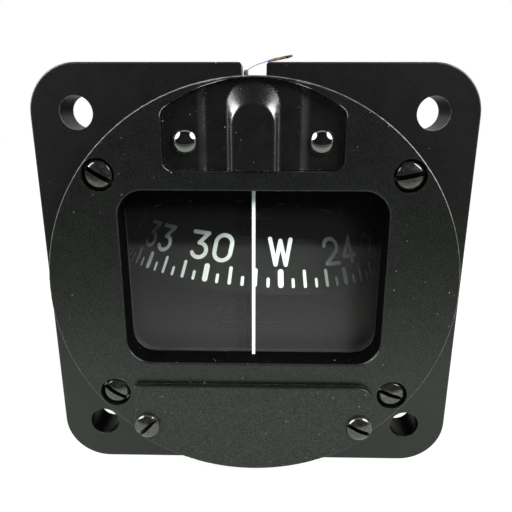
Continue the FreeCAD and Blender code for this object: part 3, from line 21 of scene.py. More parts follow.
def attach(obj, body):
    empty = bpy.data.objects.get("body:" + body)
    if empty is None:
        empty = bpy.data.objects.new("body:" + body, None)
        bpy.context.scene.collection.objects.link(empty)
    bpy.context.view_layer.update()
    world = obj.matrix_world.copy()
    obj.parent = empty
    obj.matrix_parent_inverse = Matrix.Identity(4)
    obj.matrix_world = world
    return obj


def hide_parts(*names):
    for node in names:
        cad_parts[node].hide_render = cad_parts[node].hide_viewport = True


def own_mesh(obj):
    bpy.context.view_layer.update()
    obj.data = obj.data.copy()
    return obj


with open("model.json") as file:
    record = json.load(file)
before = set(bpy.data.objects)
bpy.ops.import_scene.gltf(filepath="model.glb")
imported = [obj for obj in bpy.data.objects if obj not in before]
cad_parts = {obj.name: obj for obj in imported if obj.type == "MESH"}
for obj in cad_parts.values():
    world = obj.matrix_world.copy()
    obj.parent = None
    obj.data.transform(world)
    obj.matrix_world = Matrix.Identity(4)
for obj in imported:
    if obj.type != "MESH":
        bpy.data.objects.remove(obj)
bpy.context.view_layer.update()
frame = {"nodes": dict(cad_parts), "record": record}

logging.basicConfig(level=logging.INFO, format="%(message)s")
log = logging.getLogger("compass")

MM = 0.001
MIDDLE = (0.35, 0.65)  # the part of a noise's range over which broad patches change
GRAIN = (0.3, 0.7)  # the same for fine grain

Colour = tuple[float, float, float]
Point2 = tuple[float, float]
Point3 = tuple[float, float, float]
Face = tuple[int, ...]
Socket = bpy.types.NodeSocket


class Body(str, Enum):
    """The bodies of the frame that new pieces ride on."""

    HOUSING = "housing"
    CARD = "card"


class Shader(str, Enum):
    """The kinds of shader that the finishes and the studio use."""

    PRINCIPLED = "ShaderNodeBsdfPrincipled"
    REFRACTION = "ShaderNodeBsdfRefraction"
    TRANSPARENT = "ShaderNodeBsdfTransparent"
    DIFFUSE = "ShaderNodeBsdfDiffuse"
    EMISSION = "ShaderNodeEmission"
    BACKGROUND = "ShaderNodeBackground"


class Tick(Enum):
    """The three marks of the card's scale, as length and width in millimetres."""

    FIVE = (2.05, 0.62)
    TEN = (3.85, 0.7)
    THIRTY = (3.9, 1.15)


class Spot(NamedTuple):
    """A round spot on the front."""

    x: float
    z: float
    reach: float


class PaintedSheen(NamedTuple):
    """A painted sheen: a pale band up the paint on either side of the middle, where the cover's soft step catches the
    lamps.
    """

    off_middle: float
    reach: float
    share: float


class Opening(NamedTuple):
    """The dial's window."""

    half_width: float
    bottom: float
    top: float


class ScrewPlace(NamedTuple):
    """Where a screw sits on the front, and the turn of its slot in degrees."""

    x: float
    z: float
    turn: float


@dataclass(frozen=True)
class Pattern:
    """A noise in the part's own space, and the part of its range over which it turns from 0 to 1.

    The stretch is a scale for each axis, and the shift moves the pattern, so that two noises differ.
    """

    grains_per_mm: float
    detail: float
    span: Point2 = GRAIN
    shift: float = 0.0
    stretch: Point3 = (1, 1, 1)


class Graph:
    """The node graph of a material or a world, with short ways to add and join its nodes."""

    def __init__(self, owner: bpy.types.Material | bpy.types.World, output: str) -> None:
        """Starts an empty graph.

        Args:
            owner: What the graph belongs to.
            output: The kind of its output node.
        """
        self.owner = owner
        self.owner.use_nodes = True
        self.tree = self.owner.node_tree
        self.tree.nodes.clear()
        self.output = self.node(output)
        self.place = self.node("ShaderNodeTexCoord").outputs["Object"]

    @classmethod
    def for_material(cls, name: str) -> "Graph":
        """Starts the graph of a new material."""
        return cls(bpy.data.materials.new(name), "ShaderNodeOutputMaterial")

    @classmethod
    def for_world(cls, name: str) -> "Graph":
        """Starts the graph of a new world."""
        return cls(bpy.data.worlds.new(name), "ShaderNodeOutputWorld")

    def node(self, kind: str) -> bpy.types.Node:
        """Adds a node of a kind."""
        return self.tree.nodes.new(kind)

    def join(self, source: Socket, target: Socket) -> None:
        """Links an output to an input."""
        self.tree.links.new(source, target)

    def feed(self, node: bpy.types.Node, values: dict[str, object]) -> bpy.types.Node:
        """Links or sets a node's inputs.

        Args:
            node: The node.
            values: A socket or a constant for each named input.

        Returns:
            The same node.
        """
        for name, value in values.items():
            if isinstance(value, Socket):
                self.join(value, node.inputs[name])
            else:
                node.inputs[name].default_value = value
        return node

    def shader(self, kind: Shader, values: dict[str, object]) -> bpy.types.Node:
        """Adds a shader and feeds its inputs.

        Args:
            kind: Its kind.
            values: A socket or a constant for each named input.

        Returns:
            The shader.
        """
        return self.feed(self.node(kind.value), values)

    def show(self, shader: bpy.types.Node) -> None:
        """Joins a shader to the output."""
        self.join(shader.outputs[0], self.output.inputs["Surface"])

    def blend(self, share: Socket, first: bpy.types.Node, second: bpy.types.Node) -> bpy.types.Node:
        """Adds a shader that mixes two others.

        Args:
            share: How much of the second shader there is.
            first: A shader.
            second: A shader.

        Returns:
            The mixing node.
        """
        node = self.node("ShaderNodeMixShader")
        for slot, source in enumerate((share, first.outputs[0], second.outputs[0])):
            self.join(source, node.inputs[slot])
        return node

    def math(self, operation: str, first: object, second: object = None) -> Socket:
        """Adds a Math node.

        Args:
            operation: The node's operation, such as "ADD".
            first: A socket or a number.
            second: A socket or a number, if the operation takes one.

        Returns:
            The node's output socket.
        """
        node = self.node("ShaderNodeMath")
        node.operation = operation
        for slot, value in enumerate((first, second)):
            if isinstance(value, (int, float)):
                node.inputs[slot].default_value = value
            elif value is not None:
                self.join(value, node.inputs[slot])
        return node.outputs[0]

    def times(self, first: object, second: object) -> Socket:
        """One value times another."""
        return self.math("MULTIPLY", first, second)

    def rest(self, share: object) -> Socket:
        """What a share leaves of 1."""
        return self.math("SUBTRACT", 1.0, share)

    def length(self, first: object, second: object) -> Socket:
        """The length of a line that runs so far along each of two axes."""
        squares = [self.math("POWER", run, 2.0) for run in (first, second)]
        return self.math("SQRT", self.math("ADD", *squares))

    def away(self, x: Socket, z: Socket, spot: Spot) -> Socket:
        """How far a place is from the middle of a spot, seen from the front."""
        return self.length(self.math("SUBTRACT", x, spot.x), self.math("SUBTRACT", z, spot.z))

    def vector(self, operation: str, first: object, second: object) -> bpy.types.Node:
        """Adds a Vector Math node.

        Args:
            operation: The node's operation.
            first: A socket or three numbers.
            second: A socket or three numbers.

        Returns:
            The node.
        """
        node = self.node("ShaderNodeVectorMath")
        node.operation = operation
        for slot, value in enumerate((first, second)):
            if isinstance(value, tuple):
                node.inputs[slot].default_value = value
            else:
                self.join(value, node.inputs[slot])
        return node

    def ramp(self, value: Socket, low: float, high: float, out_low: float = 0.0, out_high: float = 1.0) -> Socket:
        """Maps a value smoothly from one range to another, held at both ends.

        Args:
            value: The value to map.
            low: Where the smooth rise starts.
            high: Where it ends.
            out_low: The result at and below low.
            out_high: The result at and above high.

        Returns:
            The mapped value.
        """
        node = self.node("ShaderNodeMapRange")
        node.interpolation_type = "SMOOTHSTEP"
        self.feed(node, {"Value": value, "From Min": low, "From Max": high, "To Min": out_low, "To Max": out_high})
        return node.outputs["Result"]

    def noise(self, pattern: Pattern) -> Socket:
        """Adds a pattern's noise.

        Args:
            pattern: The pattern.

        Returns:
            The noise's value, about 0.5 on average.
        """
        moved = self.feed(self.node("ShaderNodeMapping"), {
            "Vector": self.place, "Scale": pattern.stretch,
            "Location": (pattern.shift, pattern.shift * 0.7, pattern.shift * 0.4)})
        grain = self.feed(self.node("ShaderNodeTexNoise"), {
            "Vector": moved.outputs["Vector"], "Scale": pattern.grains_per_mm / MM, "Detail": pattern.detail})
        return grain.outputs["Fac"]

    def mask(self, pattern: Pattern, out_low: float = 0.0, out_high: float = 1.0) -> Socket:
        """Adds a pattern, ramped over its span.

        Args:
            pattern: The pattern.
            out_low: The result at and below the span's start.
            out_high: The result at and above its end.

        Returns:
            The ramped value.
        """
        return self.ramp(self.noise(pattern), *pattern.span, out_low, out_high)

    def mix(self, share: Socket, first: object, second: object) -> Socket:
        """Mixes two colours.

        Args:
            share: How much of the second colour there is.
            first: A colour or a colour socket.
            second: A colour or a colour socket.

        Returns:
            The mixed colour.
        """
        node = self.node("ShaderNodeMix")
        node.data_type = "RGBA"
        self.join(share, node.inputs[0])
        for slot, value in ((6, first), (7, second)):
            if isinstance(value, tuple):
                node.inputs[slot].default_value = (*value, 1.0)
            else:
                self.join(value, node.inputs[slot])
        return node.outputs[2]

    def bump(self, height: Socket, depth_mm: float, strength: float) -> Socket:
        """Adds a bump and returns its normal.

        Args:
            height: The height to follow.
            depth_mm: How deep the pattern is.
            strength: The bump's strength from 0 to 1.

        Returns:
            The bent normal.
        """
        node = self.feed(self.node("ShaderNodeBump"), {
            "Height": height, "Distance": depth_mm * MM, "Strength": strength})
        return node.outputs["Normal"]

    def millimetres(self) -> tuple[Socket, Socket, Socket]:
        """The place in the part's frame, as X, Y and Z in millimetres."""
        scaled = self.vector("MULTIPLY", self.place, (1 / MM, 1 / MM, 1 / MM))
        split = self.node("ShaderNodeSeparateXYZ")
        self.join(scaled.outputs[0], split.inputs[0])
        return split.outputs["X"], split.outputs["Y"], split.outputs["Z"]

    def edge(self, radius_mm: float, low: float, high: float) -> Socket:
        """A mask that is 1 where the surface turns over an edge.

        Args:
            radius_mm: How far from the edge the mask reaches.
            low: The turn at which the mask starts.
            high: The turn at which it is full.

        Returns:
            The mask.
        """
        bevel = self.feed(self.node("ShaderNodeBevel"), {"Radius": radius_mm * MM})
        plain = self.node("ShaderNodeNewGeometry")
        turn = self.vector("DOT_PRODUCT", bevel.outputs[0], plain.outputs["Normal"])
        return self.ramp(self.rest(turn.outputs["Value"]), low, high)


@dataclass(frozen=True)
class Finish(ABC):
    """The look of a surface, from which its material is built."""

    name: str

    def build(self) -> bpy.types.Material:
        """Builds the material.

        Returns:
            The finished material.
        """
        graph = Graph.for_material(self.name)
        graph.show(self.wire(graph))
        return graph.owner

    @abstractmethod
    def wire(self, graph: Graph) -> bpy.types.Node:
        """Fills the material's graph.

        Args:
            graph: The empty graph.

        Returns:
            The shader to show.
        """


@dataclass(frozen=True)
class GrainedFinish(Finish):
    """A finish with two colours that run into each other, and a fine grain in gloss and height."""

    dark: Colour
    light: Colour
    roughness: Point2 = (0.4, 0.55)
    metallic: float = 0.0
    grain_depth_mm: float = 0.01
    grain_strength: float = 0.2
    specular: float = 0.5
    coat: float = 0.0
    coat_ior: float = 1.5
    stretch: Point3 = (1, 1, 1)

    def wire(self, graph: Graph) -> bpy.types.Node:
        """Fills the material's graph and returns its shader."""
        mottle = graph.mask(Pattern(0.5, 3.0, MIDDLE, stretch=self.stretch))
        grain = graph.noise(Pattern(6.0, 2.0, shift=3.1, stretch=self.stretch))
        return graph.shader(Shader.PRINCIPLED, {
            "Base Color": graph.mix(mottle, self.dark, self.light),
            "Roughness": graph.ramp(grain, *GRAIN, *self.roughness),
            "Normal": graph.bump(grain, self.grain_depth_mm, self.grain_strength),
            "Metallic": self.metallic,
            "Specular IOR Level": self.specular,
            "Coat Weight": self.coat,
            "Coat IOR": self.coat_ior,
        })


@dataclass(frozen=True)
class WornPaint(Finish):
    """Matt black paint with fine grain, rubbed bright along edges and at chosen spots, with a little dust.

    Painted shade makes the paint near-black and dull on the window's inner wall and inside the holes and the bowl,
    and a painted sheen lightens a band up the paint on either side of the middle.

    An edge_turn is how sharply a surface turns where the wear starts and where it is full, for all edges or for
    those in the spots. The disc's fields say where the edge of its rim is. The window's rim is how far outside
    the opening the painted shade on its wall ends, and its from_y is where along Y that shade starts.
    """

    dark: Colour = (0.0018, 0.0022, 0.0019)
    light: Colour = (0.0036, 0.0043, 0.0038)
    worn: Colour = (0.33, 0.32, 0.3)
    dust: Colour = (0.38, 0.41, 0.38)
    # painted shade: the near-black put on the window's inner wall and in the holes and the bowl
    painted_shade: Colour = (0.0006, 0.0007, 0.0006)
    roughness: Point2 = (0.29, 0.43)
    gloss: Point2 = (0.3, 0.9)
    mottle: Pattern = Pattern(0.35, 4.0)
    grain: Pattern = Pattern(6.0, 2.0, shift=1.7)
    grain_depth_mm: float = 0.03
    grain_strength: float = 0.45
    edge_reach_mm: float = 0.16
    edge_turn: Point2 = (0.02, 0.16)
    edge_patches: Pattern = Pattern(1.3, 3.0, (0.42, 0.62), shift=6.1)
    edge_share: float = 0.35
    edge_polish: float = 0.1
    disc_edge: float = 0.0
    disc_radius: Point2 = (37.27, 37.36)
    disc_front: Point2 = (-5.08, -5.0)
    disc_patches: Pattern = Pattern(0.4, 3.0, MIDDLE, shift=2.2)
    disc_range: Point2 = (0.35, 1.0)
    specks: Pattern = Pattern(2.2, 1.0, (0.79, 0.81), shift=9.3)
    fibres: Pattern = Pattern(1.1, 1.0, (0.815, 0.83), shift=4.9, stretch=(1, 1, 6))
    dust_share: float = 0.6
    coat: float = 0.0
    coat_roughness: float = 0.2
    coat_ior: float = 1.9
    spots: tuple[Spot, ...] = ()
    spot_reach_mm: float = 0.256
    spot_edge_turn: Point2 = (0.01, 0.08)
    spot_core: float = 0.4
    holes: tuple[Spot, ...] = ()
    hole_rim: float = 0.1
    hole_from_y: Point2 = (0.1, 0.6)
    hole_gloss: float = 0.1
    window: Opening | None = None
    window_rim: Point2 = (0.25, 0.35)
    window_from_y: Point2 = (-5.1, -4.9)
    window_shade_share: float = 0.93
    window_matt: float = 0.4
    painted_sheens: tuple[PaintedSheen, ...] = ()

    def wire(self, graph: Graph) -> bpy.types.Node:
        """Fills the material's graph and returns its shader."""
        grain = graph.noise(self.grain)
        paint = graph.mix(graph.mask(self.mottle), self.dark, self.light)
        wear = self.wear_mask(graph)
        # painted sheen: pale bands, in the dust colour, where the cover's soft step catches the light
        for sheen in self.painted_sheens:
            sideways = graph.math("ABSOLUTE", graph.millimetres()[0])
            off = graph.math("ABSOLUTE", graph.math("SUBTRACT", sideways, sheen.off_middle))
            paint = graph.mix(graph.ramp(off, 0.0, sheen.reach, sheen.share, 0.0), paint, self.dust)
        gloss = graph.ramp(grain, *self.grain.span, *self.gloss)
        matt = graph.ramp(grain, *self.grain.span, *self.roughness)
        rough = graph.math("SUBTRACT", matt, graph.times(wear, self.edge_polish))
        # painted shade: the window's inner wall turned near-black, dull and rough
        if self.window is not None:
            wall = self.painted_window_shade(graph)
            paint = graph.mix(wall, paint, self.painted_shade)
            gloss = graph.times(gloss, graph.rest(wall))
            rough = graph.math("ADD", rough, graph.times(wall, self.window_matt))
        colour = graph.mix(self.dust_mask(graph), graph.mix(wear, paint, self.worn), self.dust)
        # painted shade: near-black, dull paint inside the holes and the bowl
        if self.holes:
            hollow_shade = self.hole_shade_mask(graph)
            colour = graph.mix(hollow_shade, colour, self.painted_shade)
            gloss = graph.times(gloss, graph.rest(graph.times(hollow_shade, 1 - self.hole_gloss)))
        return graph.shader(Shader.PRINCIPLED, {
            "Base Color": colour,
            "Roughness": rough,
            "Normal": graph.bump(grain, self.grain_depth_mm, self.grain_strength),
            "Specular IOR Level": gloss,
            "Coat Weight": self.coat,
            "Coat Roughness": self.coat_roughness,
            "Coat IOR": self.coat_ior,
        })

    def dust_mask(self, graph: Graph) -> Socket:
        """Where dust lies, as specks and as short fibres.

        Args:
            graph: The material's graph.

        Returns:
            The mask.
        """
        both = graph.math("MAXIMUM", graph.mask(self.specks), graph.mask(self.fibres))
        return graph.times(both, self.dust_share)

    def hole_shade_mask(self, graph: Graph) -> Socket:
        """Where painted shade makes the paint inside the holes and the bowl near-black and dull.

        Args:
            graph: The material's graph.

        Returns:
            The mask, 1 in the hollows.
        """
        x, y, z = graph.millimetres()
        mask = None
        for hole in self.holes:
            within = graph.ramp(graph.away(x, z, hole), hole.reach, hole.reach + self.hole_rim, 1.0, 0.0)
            inside = graph.times(within, graph.ramp(y, *self.hole_from_y))
            mask = inside if mask is None else graph.math("MAXIMUM", mask, inside)
        return mask

    def painted_window_shade(self, graph: Graph) -> Socket:
        """Where painted shade makes the paint of the window's inner wall near-black and dull.

        Args:
            graph: The material's graph.

        Returns:
            The mask, nearly 1 on the wall.
        """
        half, bottom, top = self.window
        near, far = self.window_rim
        x, y, z = graph.millimetres()
        across = graph.ramp(graph.math("ABSOLUTE", x), half + near, half + far, self.window_shade_share, 0.0)
        above = graph.ramp(z, bottom - far, bottom - near)
        below = graph.ramp(z, top + near, top + far, 1.0, 0.0)
        behind = graph.ramp(y, *self.window_from_y)
        return graph.times(graph.times(across, behind), graph.times(above, below))

    def wear_mask(self, graph: Graph) -> Socket:
        """Where the paint is rubbed through.

        Args:
            graph: The material's graph.

        Returns:
            The mask, 1 where bare metal shows.
        """
        x, y, z = graph.millimetres()
        rubbed = graph.times(graph.edge(self.edge_reach_mm, *self.edge_turn), graph.mask(self.edge_patches))
        mask = graph.times(rubbed, self.edge_share)
        edges = graph.edge(self.spot_reach_mm, *self.spot_edge_turn)
        for spot in self.spots:
            near = graph.ramp(graph.away(x, z, spot), spot.reach * self.spot_core, spot.reach, 1.0, 0.0)
            mask = graph.math("MAXIMUM", mask, graph.times(near, edges))
        if self.disc_edge:
            rim = graph.ramp(graph.length(x, z), *self.disc_radius)
            ring = graph.times(rim, graph.ramp(y, *self.disc_front, 1.0, 0.0))
            ring = graph.times(ring, graph.mask(self.disc_patches, *self.disc_range))
            mask = graph.math("MAXIMUM", mask, graph.times(ring, self.disc_edge))
        return mask


@dataclass(frozen=True)
class WornSteel(Finish):
    """Blackened steel under a film of oil, bright where its rims are rubbed, with painted shade in its slots."""

    black: Colour = (0.035, 0.037, 0.034)
    brown: Colour = (0.09, 0.088, 0.082)
    bright: Colour = (0.5, 0.49, 0.46)
    # painted shade: the near-black put in the slots and crevices
    painted_shade: Colour = (0.002, 0.002, 0.002)
    roughness: Point2 = (0.13, 0.21)
    metallic: Point2 = (0.8, 0.95)
    specular: float = 0.5
    mottle: Pattern = Pattern(1.6, 4.0, (0.4, 0.75))
    grain: Pattern = Pattern(9.0, 2.0, shift=2.9)
    grain_depth_mm: float = 0.006
    grain_strength: float = 0.2
    edge_reach_mm: float = 0.14
    edge_turn: Point2 = (0.02, 0.14)
    edge_patches: Pattern = Pattern(1.1, 3.0, (0.35, 0.6), shift=7.7)
    bright_share: float = 0.75
    shade_reach_mm: float = 1.1
    shade_span: Point2 = (0.45, 0.85)
    shade_range: Point2 = (0.05, 1.0)
    bare_span: Point2 = (0.1, 0.6)
    oil: float = 0.8
    oil_roughness: float = 0.1
    oil_ior: float = 1.7

    def wire(self, graph: Graph) -> bpy.types.Node:
        """Fills the material's graph and returns its shader."""
        grain = graph.noise(self.grain)
        rubbed = graph.times(graph.edge(self.edge_reach_mm, *self.edge_turn), graph.mask(self.edge_patches))
        rims = graph.times(rubbed, self.bright_share)
        colour = graph.mix(rims, graph.mix(graph.mask(self.mottle), self.black, self.brown), self.bright)
        # painted shade: an occlusion probe darkens the colour, gloss and oil in the slots and crevices
        hollow_shade = graph.feed(graph.node("ShaderNodeAmbientOcclusion"), {"Distance": self.shade_reach_mm * MM})
        hollow_shade.only_local = True
        shade = graph.ramp(hollow_shade.outputs["AO"], *self.shade_span, *self.shade_range)
        return graph.shader(Shader.PRINCIPLED, {
            "Base Color": graph.mix(shade, self.painted_shade, colour),
            "Specular IOR Level": graph.times(shade, self.specular),
            "Metallic": graph.ramp(rims, *self.bare_span, *self.metallic),
            "Roughness": graph.ramp(grain, *self.grain.span, *self.roughness),
            "Normal": graph.bump(grain, self.grain_depth_mm, self.grain_strength),
            "Coat Weight": graph.times(shade, self.oil),
            "Coat Roughness": self.oil_roughness,
            "Coat IOR": self.oil_ior,
        })


@dataclass(frozen=True)
class ClearGlass(Finish):
    """Polished glass or clear liquid with a trace of dust, which lets the lamps' light through.

    Glass mirrors the room on its face and liquid doesn't. A painted veil of light grows from its first share at the
    height where it starts to its second at the height where it is full, and fades out above its start; its edge
    and its growth downward stand in for the shadow edge of the window's rim and the light below it.
    """

    roughness: Point2 = (0.02, 0.05)
    ior: float = 1.5
    dust: Point2 = (0.002, 0.008)
    mirrors: bool = True
    smears: Pattern = Pattern(0.12, 4.0, shift=5.0, stretch=(1, 1, 2.5))
    dust_patches: Pattern = Pattern(3.0, 3.0, (0.35, 0.7), shift=8.0)
    painted_veil: Point2 = (0.0, 0.0)
    painted_veil_speckle: Pattern = Pattern(7.0, 2.0, shift=1.7)
    painted_veil_range: Point2 = (0.8, 1.2)
    painted_veil_start_z: float = 6.2
    painted_veil_gone_z: float = 7.8
    painted_veil_full_z: float = -15.0
    tint: Colour = (0.97, 0.98, 0.97)
    dust_and_veil: Colour = (0.8, 0.82, 0.8)

    def wire(self, graph: Graph) -> bpy.types.Node:
        """Fills the material's graph and returns its shader."""
        common = {"IOR": self.ior, "Roughness": graph.mask(self.smears, *self.roughness)}
        tint = (*self.tint, 1.0)
        if self.mirrors:
            clear = graph.shader(Shader.PRINCIPLED, {**common, "Base Color": tint, "Transmission Weight": 1.0})
        else:
            clear = graph.shader(Shader.REFRACTION, {**common, "Color": tint})
        dust_and_veil = graph.shader(Shader.DIFFUSE, {"Color": (*self.dust_and_veil, 1.0)})
        path = graph.node("ShaderNodeLightPath")
        passing = graph.math("MAXIMUM", path.outputs["Is Shadow Ray"], path.outputs["Is Diffuse Ray"])
        dusted_and_veiled = graph.blend(self.dust_and_veil_share(graph), clear, dust_and_veil)
        return graph.blend(passing, dusted_and_veiled, graph.shader(Shader.TRANSPARENT, {}))

    def dust_and_veil_share(self, graph: Graph) -> Socket:
        """How much of the pale layer lies on the face: real dust, and a painted veil of light on the lower glass.

        Args:
            graph: The material's graph.

        Returns:
            The share of dust and painted veil.
        """
        dust = graph.mask(self.dust_patches, *self.dust)
        if not self.painted_veil[1]:
            return dust
        # painted light: the veil's upper edge and its growth downward stand in for the window rim's shadow edge and
        # the light below it
        start, full = self.painted_veil
        z = graph.millimetres()[2]
        rising = graph.ramp(z, self.painted_veil_full_z, self.painted_veil_start_z, full, start)
        veil = graph.times(rising, graph.ramp(z, self.painted_veil_start_z, self.painted_veil_gone_z, 1.0, 0.0))
        return graph.math("ADD", dust, graph.times(veil, graph.mask(self.painted_veil_speckle, *self.painted_veil_range)))


@dataclass(frozen=True)
class InsideLiquid(Finish):
    """What lies within the clear liquid: nothing that light meets."""

    tint: Colour = (0.99, 1.0, 0.99)

    def wire(self, graph: Graph) -> bpy.types.Node:
        """Fills the material's graph and returns its shader."""
        return graph.shader(Shader.TRANSPARENT, {"Color": (*self.tint, 1.0)})


@dataclass(frozen=True)
class StrippedWire(Finish):
    """A black sleeve that gives way to violet enamelled wire, and that to bare copper."""

    sleeve_dark: Colour = (0.01, 0.01, 0.01)
    sleeve_light: Colour = (0.02, 0.02, 0.02)
    enamel_dark: Colour = (0.07, 0.065, 0.17)
    enamel_light: Colour = (0.13, 0.12, 0.3)
    copper_dark: Colour = (0.13, 0.085, 0.035)
    copper_light: Colour = (0.42, 0.33, 0.17)
    wire_y: Point2 = (5.5, 5.7)
    bare_x: Point2 = (3.05, 3.35)
    roughness: Point2 = (0.35, 0.5)
    metallic: float = 0.9
    mottle: Pattern = Pattern(1.4, 3.0, MIDDLE)
    strands: Pattern = Pattern(5.0, 2.0, shift=2.0, stretch=(0.25, 1, 1))
    copper_span: Point2 = (0.4, 0.6)
    strand_depth_mm: float = 0.03
    strand_strength: float = 0.3

    def wire(self, graph: Graph) -> bpy.types.Node:
        """Fills the material's graph and returns its shader."""
        x, y, _ = graph.millimetres()
        bare = graph.ramp(x, *self.bare_x)
        wired = graph.math("MAXIMUM", graph.ramp(y, *self.wire_y), bare)
        mottle = graph.mask(self.mottle)
        strands = graph.noise(self.strands)
        enamel = graph.mix(mottle, self.enamel_dark, self.enamel_light)
        copper = graph.mix(graph.ramp(strands, *self.copper_span), self.copper_dark, self.copper_light)
        sleeve = graph.mix(mottle, self.sleeve_dark, self.sleeve_light)
        return graph.shader(Shader.PRINCIPLED, {
            "Base Color": graph.mix(bare, graph.mix(wired, sleeve, enamel), copper),
            "Metallic": graph.times(bare, self.metallic),
            "Roughness": graph.ramp(strands, *self.strands.span, *self.roughness),
            "Normal": graph.bump(strands, self.strand_depth_mm, self.strand_strength),
        })


def frames(line: Sequence[Vector]) -> Iterator[tuple[Vector, Vector, Vector]]:
    """Walks along a line with two directions across it, which turn no more than the line makes them.

    Args:
        line: The line's points.

    Yields:
        Each point with its two directions.
    """
    side = Vector((0.0, 0.0, 1.0))
    for number, spot in enumerate(line):
        along = (line[min(number + 1, len(line) - 1)] - line[max(number - 1, 0)]).normalized()
        side = (side - along * side.dot(along)).normalized()
        yield spot, side, along.cross(side)


def grid_faces(rows: int, columns: int) -> list[Face]:
    """The faces of a grid whose points are counted row by row.

    Args:
        rows: How many rows of faces it has.
        columns: How many faces each row has.

    Returns:
        The four-cornered faces.
    """
    across = columns + 1
    return [(a, a + 1, a + across + 1, a + across)
            for row in range(rows) for a in range(row * across, row * across + columns)]


def grid_rim(rows: int, columns: int) -> list[int]:
    """The points round the outside of such a grid.

    Args:
        rows: How many rows of faces it has.
        columns: How many faces each row has.

    Returns:
        The points' numbers, in order round the grid.
    """
    across = columns + 1
    rim = list(range(across))
    rim += [row * across + columns for row in range(1, rows + 1)]
    rim += [rows * across + column for column in range(columns - 1, -1, -1)]
    rim += [row * across for row in range(rows - 1, 0, -1)]
    return rim


@dataclass
class MeshPiece:
    """Points and faces, in millimetres, on their way to becoming one piece of the scene."""

    points: list[Point3] = field(default_factory=list)
    faces: list[Face] = field(default_factory=list)

    def add(self, points: Sequence[Point3], faces: Sequence[Face]) -> None:
        """Adds points, and faces that count from the first of them."""
        first = len(self.points)
        self.points.extend(points)
        self.faces.extend(tuple(first + index for index in face) for face in faces)

    def add_slab(self, front: Sequence[Point3], back: Sequence[Point3], faces: Sequence[Face]) -> None:
        """Adds a closed slab between two surfaces that have the same faces.

        Args:
            front: The points of the first surface.
            back: The matching points of the second surface.
            faces: The faces of either surface.
        """
        count = len(front)
        rims: dict[frozenset[int], tuple[int, int]] = {}
        for face in faces:
            for pair in zip(face, face[1:] + face[:1]):
                if rims.pop(frozenset(pair), None) is None:
                    rims[frozenset(pair)] = pair
        walls = [(second, first, first + count, second + count) for first, second in rims.values()]
        behind = [tuple(count + index for index in reversed(face)) for face in faces]
        self.add([*front, *back], [*faces, *behind, *walls])

    def add_tube(self, line: Sequence[Vector], radius: float, sides: int) -> None:
        """Adds a closed tube along a line.

        Args:
            line: The tube's middle.
            radius: Its radius.
            sides: How many sides it has.
        """
        points: list[Point3] = []
        for spot, side, other in frames(line):
            for part in range(sides):
                turn = 2 * math.pi * part / sides
                points.append(tuple(spot + side * (radius * math.cos(turn)) + other * (radius * math.sin(turn))))
        faces: list[Face] = []
        for ring in range(len(line) - 1):
            near = ring * sides
            faces += [(near + part, near + (part + 1) % sides, near + sides + (part + 1) % sides,
                       near + sides + part) for part in range(sides)]
        last = (len(line) - 1) * sides
        faces.append(tuple(range(sides - 1, -1, -1)))
        faces.append(tuple(last + part for part in range(sides)))
        self.add(points, faces)

    def finish(self, name: str, body: Body, slot: str, material: bpy.types.Material,
               smooth_angle: float | None = None) -> bpy.types.Object:
        """Makes the object, turns its faces outward, dresses it and sets it on its body.

        Args:
            name: The piece's name.
            body: The body that it rides on.
            slot: The record's material slot; not used.
            material: Its finish.
            smooth_angle: The angle in degrees up to which edges are shaded smooth, or None for flat faces.

        Returns:
            The new object.
        """
        mesh = bpy.data.meshes.new(name)
        mesh.from_pydata([Vector(point) * MM for point in self.points], [], self.faces)
        mesh.validate()
        shell = bmesh.new()
        shell.from_mesh(mesh)
        bmesh.ops.recalc_face_normals(shell, faces=shell.faces)
        shell.to_mesh(mesh)
        shell.free()
        if smooth_angle is not None:
            mesh.shade_smooth()
            mesh.set_sharp_from_angle(angle=math.radians(smooth_angle))
        piece = bpy.data.objects.new(name, mesh)
        bpy.context.scene.collection.objects.link(piece)
        mesh.materials.append(material)
        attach(piece, body.value)
        log.info("%s: %d faces", name, len(self.faces))
        return piece


@dataclass
class Dressing:
    """The finishes of the frame's own nodes, by the record's material slot or as a node's own."""

    finishes: dict[str, Finish]
    own: dict[str, Finish]

    def dress(self) -> dict[str, bpy.types.Material]:
        """Gives each node of the frame its material.

        Returns:
            The materials by slot.
        """
        made = {slot: finish.build() for slot, finish in self.finishes.items()}
        special = {node: finish.build() for node, finish in self.own.items()}
        slots = {part["node"]: part["material_slot"] for part in frame["record"]["subparts"]}
        for name, piece in frame["nodes"].items():
            material = special[name] if name in special else made[slots[name]]
            piece.data.materials.clear()
            piece.data.materials.append(material)
            log.info("%s: %s", name, material.name)
        return made


